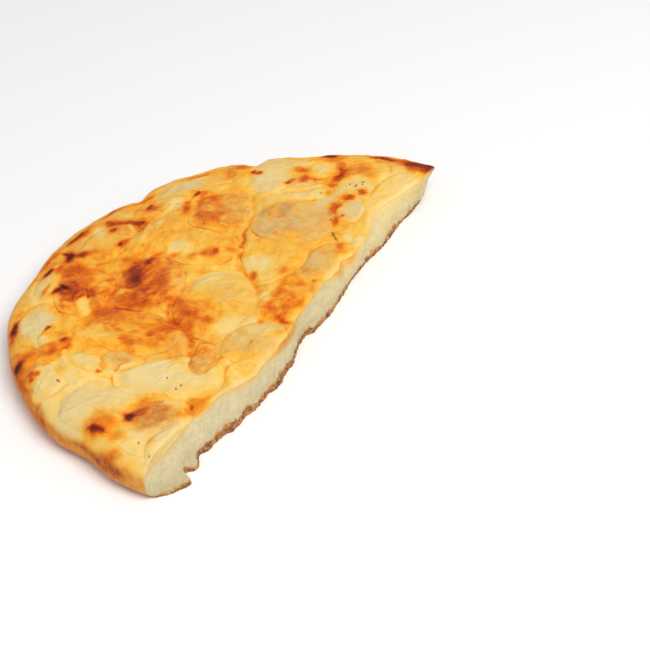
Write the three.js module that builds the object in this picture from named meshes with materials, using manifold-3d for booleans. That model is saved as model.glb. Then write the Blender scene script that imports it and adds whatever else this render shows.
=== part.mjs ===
// Half of a round potato focaccia, lying on its flat base with the cut side at -Y.
// Thin potato slices are baked onto the dough, overlapping like shingles. Millimetres, +Z up.
// All sizes below are given from the middle of the straight cut; the finished group is then
// moved so that its origin is the bottom centre of its bounding box.

import * as THREE from "three";
import { mergeVertices } from "three/addons/utils/BufferGeometryUtils.js";
import Module from "manifold-3d";

const wasm = await Module();
wasm.setup();

// ---- Driving dimensions ----
const loafRadius = 141;        // the round bread before it was halved
const doughHeight = 17.2;      // dough where no slice presses it down
const sliceThickness = 1.7;    // potato slice
const layerGap = 0.3;          // between a slice and whatever it lies on
const sinkShare = 0.7;         // part of each slice's thickness that sinks into the dough
const rimRoll = 17;            // width of the band where the top rolls down to the rim
const rimDrop = 3.0;           // how far it rolls down
const sliceInset = 4.5;        // slices end this far inside the widest outline
const cell = 8.7;              // step of the one lattice that all sheets share
const cutStations = 30;        // points along the cut
const arcStations = 60;        // points along the round side
const outlineStations = 22;    // points round one potato slice
const boxCentre = [0.29, 66.38];    // plan centre of the bounding box, from the middle of the cut

// Swells and dents of the round rim: angle from +X and reach in degrees, size in mm.
const rimSwells = [
  { at: 0, reach: 5, size: -0.8 },
  { at: 13, reach: 7, size: 3 },
  { at: 25, reach: 10, size: 2.5 },
  { at: 28, reach: 3, size: -2.1 },
  { at: 36, reach: 6, size: 1.5 },
  { at: 40.5, reach: 2.6, size: -4.9 },
  { at: 48, reach: 6, size: 3.5 },
  { at: 60, reach: 7, size: 1.8 },
  { at: 68.5, reach: 2.6, size: -3.9 },
  { at: 74, reach: 5, size: -0.9 },
  { at: 86, reach: 8, size: 0.9 },
  { at: 104, reach: 7, size: -1.4 },
  { at: 117, reach: 7, size: 1.6 },
  { at: 146, reach: 12, size: -1.6 },
  { at: 164, reach: 7, size: -3.8 },
];

// The cut wanders: place along the cut and reach in mm, size in mm towards the round side.
const cutTopBase = -2.8;
const cutTopWander = [
  { at: -128, reach: 18, size: 5.7 },
  { at: -108, reach: 8, size: 2.2 },
  { at: -64, reach: 9, size: -5.6 },
  { at: -46, reach: 12, size: -4.9 },
  { at: -26, reach: 10, size: -3.5 },
  { at: 35, reach: 5, size: 2.6 },
  { at: 84, reach: 17, size: 8.3 },
  { at: 104, reach: 10, size: 1.7 },
];
const cutBottomBase = -4.0;
const cutBottomWander = [
  { at: -141, reach: 6, size: 4.9 },
  { at: -125, reach: 7, size: -4.4 },
  { at: -106, reach: 5, size: 1.1 },
  { at: -80, reach: 9, size: -3.6 },
  { at: -62, reach: 9, size: -4.4 },
  { at: -45, reach: 10, size: -4.7 },
  { at: -30, reach: 8, size: -2.3 },
  { at: -10, reach: 8, size: 2.2 },
  { at: 60, reach: 16, size: 6 },
  { at: 100, reach: 20, size: 7.2 },
  { at: 141, reach: 14, size: 10.8 },
];

// Section of the round side, from the base up: height and inset from the widest outline.
const sideSection = [
  { z: 0, inset: 4.0 },
  { z: 1.8, inset: 1.5 },
  { z: 6.5, inset: 0 },
  { z: 10.5, inset: 0.7 },
  { z: 13.2, inset: 2.7 },
  { z: 15.4, inset: 6.5 },
  { z: 26.0, inset: 12.0 },
];

// Potato slices from the lowest to the highest: centre, half length, half width and turn in
// degrees of a squarish oval, and how square it is (2 is a plain ellipse).
const slices = [
  { x: -68.5, y: 105.5, long: 18.5, wide: 11.5, turn: 34, square: 2.2 },
  { x: -36, y: 119, long: 18, wide: 9, turn: 14, square: 2.2 },
  { x: -77, y: 91, long: 10, wide: 8, turn: 25, square: 2.2 },
  { x: -104, y: 78, long: 13, wide: 11, turn: 40, square: 2.2 },
  { x: -91, y: 63, long: 12, wide: 18, turn: -20, square: 2.2 },
  { x: -113, y: 44, long: 21, wide: 18, turn: 10, square: 2.3 },
  { x: -114, y: 14, long: 19, wide: 17, turn: 0, square: 2.1 },
  { x: -122, y: -3, long: 16, wide: 14, turn: 0, square: 2.1 },
  { x: -77, y: 54, long: 7, wide: 10, turn: 5, square: 2.2 },
  { x: -56, y: 62, long: 16, wide: 25, turn: -8, square: 2.4 },
  { x: -18, y: 76, long: 25, wide: 17, turn: 12, square: 2.6 },
  { x: -38, y: 101, long: 19, wide: 14, turn: 20, square: 2.2 },
  { x: 5, y: 116, long: 20, wide: 13, turn: 0, square: 2.2 },
  { x: 42, y: 112, long: 14, wide: 9, turn: -10, square: 2.2 },
  { x: 18, y: 97, long: 22, wide: 12, turn: 0, square: 2.2 },
  { x: 20, y: 72, long: 17, wide: 21, turn: -5, square: 2.4 },
  { x: 67, y: 103, long: 22, wide: 11, turn: -33, square: 2.3 },
  { x: 95, y: 67, long: 19, wide: 18.5, turn: 20, square: 2.3 },
  { x: 112, y: 48, long: 13, wide: 9, turn: -48, square: 2.2 },
  { x: 87, y: 47, long: 10, wide: 14, turn: 30, square: 2.2 },
  { x: 53, y: 78, long: 20, wide: 18, turn: 15, square: 3.0 },
  { x: 117, y: 28, long: 11, wide: 13, turn: 12, square: 2.2 },
  { x: 104, y: 6, long: 21, wide: 12, turn: 5, square: 2.2 },
  { x: 101, y: 27, long: 9, wide: 11, turn: 0, square: 2.2 },
  { x: 77, y: 18, long: 13, wide: 8, turn: 15, square: 2.2 },
  { x: 32, y: 6, long: 20, wide: 12, turn: 8, square: 2.2 },
  { x: -8, y: 8, long: 18, wide: 12, turn: 0, square: 2.2 },
  { x: -42, y: 5, long: 17, wide: 16, turn: 0, square: 2.2 },
  { x: -64, y: -3, long: 12, wide: 10, turn: 0, square: 2.2 },
  { x: -78, y: 26, long: 17, wide: 25, turn: 12, square: 2.6 },
  { x: 26, y: 33, long: 26, wide: 17, turn: 8, square: 2.2 },
  { x: 58, y: 39, long: 20, wide: 21, turn: 0, square: 2.3 },
  { x: -20, y: 38, long: 30, wide: 19, turn: 12, square: 2.4 },
  { x: -61, y: 19.5, long: 14, wide: 6.5, turn: 20, square: 2.3 },
];

// ---- Materials ----
const doughMaterial = new THREE.MeshStandardMaterial({ color: 0xe3a555, roughness: 0.75, metalness: 0 });
const paleSlice = new THREE.Color(0xf1d88c);
const brownedSlice = new THREE.Color(0xe79a3c);

function sliceMaterial(index) {
  const share = (index * 0.618) % 1;
  const color = paleSlice.clone().lerp(brownedSlice, share);
  return new THREE.MeshStandardMaterial({ color, roughness: 0.5, metalness: 0 });
}

// ---- Solids ----
function toSolid(geometry) {
  geometry.deleteAttribute("normal");
  geometry.deleteAttribute("uv");
  const merged = mergeVertices(geometry, 1e-4);
  return new wasm.Manifold(new wasm.Mesh({
    numProp: 3,
    vertProperties: new Float32Array(merged.attributes.position.array),
    triVerts: new Uint32Array(merged.index.array),
  }));
}

function toNode(name, solid, material) {
  const { vertProperties, triVerts } = solid.getMesh();
  const geometry = new THREE.BufferGeometry();
  geometry.setAttribute("position", new THREE.BufferAttribute(new Float32Array(vertProperties), 3));
  geometry.setIndex(new THREE.BufferAttribute(new Uint32Array(triVerts), 1));
  geometry.computeVertexNormals();
  const mesh = new THREE.Mesh(geometry, material);
  mesh.name = name;
  return mesh;
}

// A closed upright prism over a plan outline.
function prism(points, bottom, top) {
  const geometry = new THREE.ExtrudeGeometry(new THREE.Shape(points), {
    depth: top - bottom,
    bevelEnabled: false,
    steps: 1,
  });
  geometry.translate(0, 0, bottom);
  return toSolid(geometry);
}

// ---- Plan of the bread ----
function sumOfSwells(swells, place) {
  return swells.reduce((sum, s) => sum + s.size * Math.exp(-(((place - s.at) / s.reach) ** 2)), 0);
}

function rimRadius(angle) {
  return loafRadius + sumOfSwells(rimSwells, THREE.MathUtils.radToDeg(angle));
}

function cutLine(x, height) {
  const bottomY = cutBottomBase + sumOfSwells(cutBottomWander, x);
  const topY = cutTopBase + sumOfSwells(cutTopWander, x);
  return THREE.MathUtils.lerp(bottomY, topY, Math.min(height / doughHeight, 1));
}

// Outline at one height: along the cut from -X to +X, then round the rim back to -X.
function planOutline(height, inset) {
  const points = [];
  const reach = (side) => rimRadius(side > 0 ? 0 : Math.PI) - inset;
  for (let i = 0; i < cutStations; i += 1) {
    const x = THREE.MathUtils.lerp(-reach(-1), reach(1), i / cutStations);
    points.push(new THREE.Vector2(x, cutLine(x, height)));
  }
  for (let i = 0; i < arcStations; i += 1) {
    const endY = cutLine(i < arcStations / 2 ? reach(1) : -reach(-1), height);
    const angle = (Math.PI * i) / arcStations;
    const radius = rimRadius(angle) - inset;
    const lift = endY * Math.cos(angle) ** 6;
    points.push(new THREE.Vector2(radius * Math.cos(angle), radius * Math.sin(angle) + lift));
  }
  return points;
}

// ---- Layers on one shared lattice ----
// Every sheet is sampled at the same lattice points and split along the same diagonals, so
// two sheets that are apart at the lattice points are apart everywhere.
const reachCells = Math.ceil(150 / cell);
const rowLength = 2 * reachCells + 1;
const nodeAt = (i, j) => (j + reachCells) * rowLength + (i + reachCells);

function eachNode(box, visit) {
  for (let j = box.j0; j <= box.j1; j += 1) {
    for (let i = box.i0; i <= box.i1; i += 1) {
      visit(i, j, i * cell, j * cell);
    }
  }
}

const wholeBox = { i0: -reachCells, i1: reachCells, j0: -4, j1: reachCells };

function sliceOutline(slice) {
  const turn = THREE.MathUtils.degToRad(slice.turn);
  const points = [];
  for (let k = 0; k < outlineStations; k += 1) {
    const angle = (2 * Math.PI * k) / outlineStations;
    const across = (Math.abs(Math.cos(angle)) / slice.long) ** slice.square;
    const along = (Math.abs(Math.sin(angle)) / slice.wide) ** slice.square;
    const radius = (across + along) ** (-1 / slice.square);
    points.push(new THREE.Vector2(
      slice.x + radius * Math.cos(angle + turn),
      slice.y + radius * Math.sin(angle + turn),
    ));
  }
  return points;
}

// Lattice box that holds an outline with a cell to spare.
function latticeBox(points) {
  const box = new THREE.Box2().setFromPoints(points);
  return {
    i0: Math.floor(box.min.x / cell),
    i1: Math.ceil(box.max.x / cell),
    j0: Math.floor(box.min.y / cell),
    j1: Math.ceil(box.max.y / cell),
  };
}

// Whether a lattice point belongs to a slice's sheet: inside it, or a corner of a cell it touches.
function isUnder(slice, x, y) {
  const spare = cell * Math.SQRT2;
  const turn = THREE.MathUtils.degToRad(-slice.turn);
  const dx = x - slice.x;
  const dy = y - slice.y;
  const u = Math.abs(dx * Math.cos(turn) - dy * Math.sin(turn)) / (slice.long + spare);
  const v = Math.abs(dx * Math.sin(turn) + dy * Math.cos(turn)) / (slice.wide + spare);
  return u ** slice.square + v ** slice.square < 1;
}

// Top of the dough: gently wavy, rolled down at the rim, pressed down under the slices.
function doughTop(x, y) {
  const angle = Math.atan2(Math.max(y, 0), x);
  const inside = rimRadius(angle) - Math.hypot(x, y);
  const roll = THREE.MathUtils.clamp(1 - inside / rimRoll, 0, 1.3);
  const waves = 0.5 * Math.sin(x / 17 + 0.6) * Math.cos(y / 14) + 0.35 * Math.sin((x - y) / 9);
  const layers = slices.filter((slice) => isUnder(slice, x, y)).length;
  const pressed = sinkShare * (sliceThickness + layerGap) * layers;
  return doughHeight + waves - rimDrop * roll * roll - pressed;
}

// A closed sheet between two sets of heights over a lattice box.
function sheet(box, bottomHeights, topHeights) {
  const columns = box.i1 - box.i0 + 1;
  const rows = box.j1 - box.j0 + 1;
  const positions = [];
  eachNode(box, (i, j, x, y) => positions.push(x, y, bottomHeights[nodeAt(i, j)]));
  eachNode(box, (i, j, x, y) => positions.push(x, y, topHeights[nodeAt(i, j)]));
  const lower = (c, r) => r * columns + c;
  const upper = (c, r) => columns * rows + lower(c, r);
  const indices = [];
  const quad = (a, b, c, d) => indices.push(a, b, c, a, c, d);
  for (let r = 0; r < rows - 1; r += 1) {
    for (let c = 0; c < columns - 1; c += 1) {
      quad(upper(c, r), upper(c + 1, r), upper(c + 1, r + 1), upper(c, r + 1));
      indices.push(lower(c, r), lower(c + 1, r + 1), lower(c + 1, r));
      indices.push(lower(c, r), lower(c, r + 1), lower(c + 1, r + 1));
    }
  }
  for (let c = 0; c < columns - 1; c += 1) {
    quad(lower(c, 0), lower(c + 1, 0), upper(c + 1, 0), upper(c, 0));
    quad(lower(c + 1, rows - 1), lower(c, rows - 1), upper(c, rows - 1), upper(c + 1, rows - 1));
  }
  for (let r = 0; r < rows - 1; r += 1) {
    quad(lower(columns - 1, r), lower(columns - 1, r + 1), upper(columns - 1, r + 1), upper(columns - 1, r));
    quad(lower(0, r + 1), lower(0, r), upper(0, r), upper(0, r + 1));
  }
  const geometry = new THREE.BufferGeometry();
  geometry.setAttribute("position", new THREE.Float32BufferAttribute(positions, 3));
  geometry.setIndex(indices);
  return toSolid(geometry);
}

// ---- Bread ----
// Closed loft through the side section, wider than the dough is high.
function sideLoft() {
  const rings = sideSection.map(({ z, inset }) => ({ z, points: planOutline(z, inset) }));
  const count = rings[0].points.length;
  const positions = [];
  rings.forEach(({ z, points }) => points.forEach((p) => positions.push(p.x, p.y, z)));
  const indices = [];
  for (let ring = 0; ring < rings.length - 1; ring += 1) {
    for (let k = 0; k < count; k += 1) {
      const next = (k + 1) % count;
      const a = ring * count + k;
      const b = ring * count + next;
      indices.push(a, b, b + count, a, b + count, a + count);
    }
  }
  const base = THREE.ShapeUtils.triangulateShape(rings[0].points, []);
  const lid = THREE.ShapeUtils.triangulateShape(rings[rings.length - 1].points, []);
  const lidStart = (rings.length - 1) * count;
  base.forEach(([a, b, c]) => indices.push(a, c, b));
  lid.forEach(([a, b, c]) => indices.push(lidStart + a, lidStart + b, lidStart + c));
  const geometry = new THREE.BufferGeometry();
  geometry.setAttribute("position", new THREE.Float32BufferAttribute(positions, 3));
  geometry.setIndex(indices);
  return toSolid(geometry);
}

function buildBread(topHeights) {
  const below = new Float32Array(topHeights.length).fill(-5);
  const solid = sheet(wholeBox, below, topHeights).intersect(sideLoft());
  return toNode("bread", solid, doughMaterial);
}

// ---- Potato slices ----
// Each slice drapes over what is already there and raises the level for the next one.
function buildSlice(slice, index, level, topArea) {
  const outline = sliceOutline(slice);
  const box = latticeBox(outline);
  const bottom = Float32Array.from(level, (height) => height + layerGap);
  const top = Float32Array.from(bottom, (height) => height + sliceThickness);
  const cutter = prism(outline, 0, 60).intersect(topArea);
  const solid = sheet(box, bottom, top).intersect(cutter);
  eachNode(box, (i, j, x, y) => {
    if (isUnder(slice, x, y)) {
      level[nodeAt(i, j)] = top[nodeAt(i, j)];
    }
  });
  const name = `potato_slice_${String(index + 1).padStart(2, "0")}`;
  return toNode(name, solid, sliceMaterial(index));
}

// ---- Assembly ----
const focaccia = new THREE.Group();
const level = new Float32Array(rowLength * rowLength);
eachNode(wholeBox, (i, j, x, y) => {
  level[nodeAt(i, j)] = doughTop(x, y);
});
const topArea = prism(planOutline(doughHeight, sliceInset), 1, 59);
focaccia.add(buildBread(level));
slices.forEach((slice, index) => focaccia.add(buildSlice(slice, index, level, topArea)));
focaccia.position.set(-boxCentre[0], -boxCentre[1], 0);

export default focaccia;
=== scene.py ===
"""Half of a round potato focaccia: dough, baked potato slices and herb flecks.

Every length in the layout is in millimetres from the middle of the straight cut, with +X along
the cut, +Y towards the round side and +Z up. A piece is moved to the frame's origin and turned
into metres when its mesh is made.
"""

import math

import bpy
import numpy as np
from mathutils import Matrix, Vector


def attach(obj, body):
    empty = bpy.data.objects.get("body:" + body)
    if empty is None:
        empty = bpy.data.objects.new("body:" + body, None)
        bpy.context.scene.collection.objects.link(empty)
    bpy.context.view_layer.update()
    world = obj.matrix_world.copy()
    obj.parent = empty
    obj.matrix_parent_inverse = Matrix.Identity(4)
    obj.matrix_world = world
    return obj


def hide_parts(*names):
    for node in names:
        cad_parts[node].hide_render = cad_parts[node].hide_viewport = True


bl_info = {
    "name": "Half potato focaccia",
    "version": (1, 0, 0),
    "blender": (4, 5, 0),
    "location": "View3D > Sidebar > Focaccia",
    "description": "Builds half of a round focaccia topped with potato slices",
    "category": "Add Mesh",
}

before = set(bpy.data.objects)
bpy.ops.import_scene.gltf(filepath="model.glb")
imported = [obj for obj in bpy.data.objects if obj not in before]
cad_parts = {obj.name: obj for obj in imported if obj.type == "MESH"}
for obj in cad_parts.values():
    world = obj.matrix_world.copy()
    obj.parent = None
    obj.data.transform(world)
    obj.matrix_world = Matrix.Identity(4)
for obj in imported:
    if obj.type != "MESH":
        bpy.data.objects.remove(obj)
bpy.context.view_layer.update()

MM = 0.001
PLAN_CENTRE = (0.29, 66.38)      # frame origin, seen from the middle of the cut

# ---- Sizes shared with the CAD model ----
LOAF_RADIUS = 141.0
DOUGH_HEIGHT = 17.2
SLICE_THICKNESS = 1.35
SINK_SHARE = 0.7
RIM_ROLL = 17.0
RIM_DROP = 3.0
RIM_INSET = 6.5                  # where the rolled side meets the top
SIDE_HEIGHT = 15.4
FOOT_INSET = 4.0                 # how far the foot of the round side curves in
ROLL_START = 6.5                 # height where the round side is widest and starts to roll in

# Swells of the round rim: angle and reach in degrees, size in mm.
RIM_SWELLS = [
    (0, 5, -0.8), (13, 7, 3.0), (25, 10, 2.5), (28, 3, -2.1), (36, 6, 1.5), (40.5, 2.6, -4.9),
    (48, 6, 3.5), (60, 7, 1.8), (68.5, 2.6, -3.9), (74, 5, -0.9), (86, 8, 0.9), (104, 7, -1.4),
    (117, 7, 1.6), (146, 12, -1.6), (164, 7, -3.8),
]

# Wander of the cut: place and reach along the cut, size towards the round side.
CUT_TOP_BASE = -2.8
CUT_TOP_WANDER = [
    (-128, 18, 5.7), (-108, 8, 2.2), (-64, 9, -5.6), (-46, 12, -4.9), (-26, 10, -3.5), (35, 5, 2.6),
    (84, 17, 8.3), (104, 10, 1.7),
]
CUT_BOTTOM_BASE = -4.0
CUT_BOTTOM_WANDER = [
    (-141, 6, 4.9), (-125, 7, -4.4), (-106, 5, 1.1), (-80, 9, -3.6), (-62, 9, -4.4), (-45, 10, -4.7),
    (-30, 8, -2.3), (-10, 8, 2.2), (60, 16, 6.0), (100, 20, 7.2), (141, 14, 10.8),
]
# How far the upper edge of the cut is rounded down.
EDGE_ROUNDING = 0.9
# Ragged lower edge of the cut, with its torn tongues and its notch: place along the cut, y.
LOWER_EDGE = [
    (-142, 1.0), (-138.8, 0.0), (-136, -2.8), (-134, -4.4), (-130, -6.5), (-126.4, -8.6), (-123, -9.3),
    (-121.6, -8.2), (-120.4, -4.6), (-118.6, -3.2), (-117, -4.4), (-115.6, -6.0), (-113.2, -6.8),
    (-111, -5.8), (-108, -4.2), (-104.7, -2.8), (-100.7, -4.9), (-97.2, -4.3), (-91, -5.4), (-88.9, -5.5),
    (-85, -7.7), (-77, -7.7), (-74, -7.4), (-66, -9.1), (-60, -9.0), (-54, -8.4), (-51, -9.9),
    (-45, -9.8), (-40.7, -8.8), (-36, -7.8), (-31, -8.0), (-22.6, -5.1), (-16.4, -3.2), (-8, -1.9),
    (-3.6, -4.2), (4, -4.3), (11.7, -4.7), (26, -2.6), (42, -0.1), (58.6, 0.5), (79, -0.3), (98.7, 1.5),
    (114, 0.9), (126, 1.9), (142, 6.2),
]
# Baked tint that reaches down the cut from its top: its depth and browning where nothing else is
# given, then place, reach along, depth, browning.
TOP_TINT_DEPTH = 0.7
TOP_TINT_BAKE = 0.26
TOP_TINT = [
    (-128, 20, 0.4, 0.16), (-31, 12, 3.0, 0.50), (30, 7, 5.4, 0.44), (42, 5, 4.6, 0.36),
    (62, 5, 3.6, 0.30), (84, 16, 1.2, 0.13), (112, 12, 2.4, 0.13), (136, 6, 3.6, 0.74),
]

# Potato slices from the lowest up: x, y, half length, half width, turn, squareness.
SLICES = [
    (-68.5, 105.5, 18.5, 11.5, 34, 2.2), (-36, 119, 18, 9, 14, 2.2), (-77, 91, 10, 8, 25, 2.2),
    (-104, 78, 13, 11, 40, 2.2), (-91, 63, 12, 18, -20, 2.2), (-113, 44, 21, 18, 10, 2.3),
    (-114, 14, 19, 17, 0, 2.1), (-122, -3, 16, 14, 0, 2.1), (-77, 54, 7, 10, 5, 2.2),
    (-56, 62, 16, 25, -8, 2.4), (-18, 76, 25, 17, 12, 2.6), (-38, 101, 19, 14, 20, 2.2),
    (5, 116, 20, 13, 0, 2.2), (42, 112, 14, 9, -10, 2.2), (18, 97, 22, 12, 0, 2.2),
    (20, 72, 17, 21, -5, 2.4), (67, 103, 22, 11, -33, 2.3), (95, 67, 19, 18.5, 20, 2.3),
    (112, 48, 13, 9, -48, 2.2), (87, 47, 10, 14, 30, 2.2), (53, 78, 20, 18, 15, 3.0),
    (117, 28, 11, 13, 12, 2.2), (104, 6, 21, 12, 5, 2.2), (101, 27, 9, 11, 0, 2.2),
    (77, 18, 13, 8, 15, 2.2), (32, 6, 20, 12, 8, 2.2), (-8, 8, 18, 12, 0, 2.2), (-42, 5, 17, 16, 0, 2.2),
    (-64, -3, 12, 10, 0, 2.2), (-78, 26, 17, 25, 12, 2.6), (26, 33, 26, 17, 8, 2.2),
    (58, 39, 20, 21, 0, 2.3), (-20, 38, 30, 19, 12, 2.4), (-61, 19.5, 14, 6.5, 20, 2.3),
]
# Numbers of evenly baked slices, and of slices whose edges have melted into the dough.
CALM = (6, 7, 16, 18, 21, 23, 30, 31, 32)
MELTED = (5, 6, 8, 13, 14, 15, 17, 19, 20, 23, 24, 25, 26, 29, 34)
# Straight sides by slice: direction that the side faces, in degrees, and its distance from the
# middle.
STRAIGHT = {
    11: [(-45, 18.0)], 18: [(220, 16.5)], 21: [(180, 18.5), (-70, 13.5), (104, 15.0)], 30: [(38, 14.2)],
    31: [(133, 15.5)], 33: [(-41, 20.5), (157, 25.0)],
}
# Slices with an outline of their own: three-lobed share and its direction in degrees.
LOBES = {30: (0.09, 3), 8: (0.02, 0), 33: (0.03, 200), 21: (0.01, 0), 34: (0.015, 40)}

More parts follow.
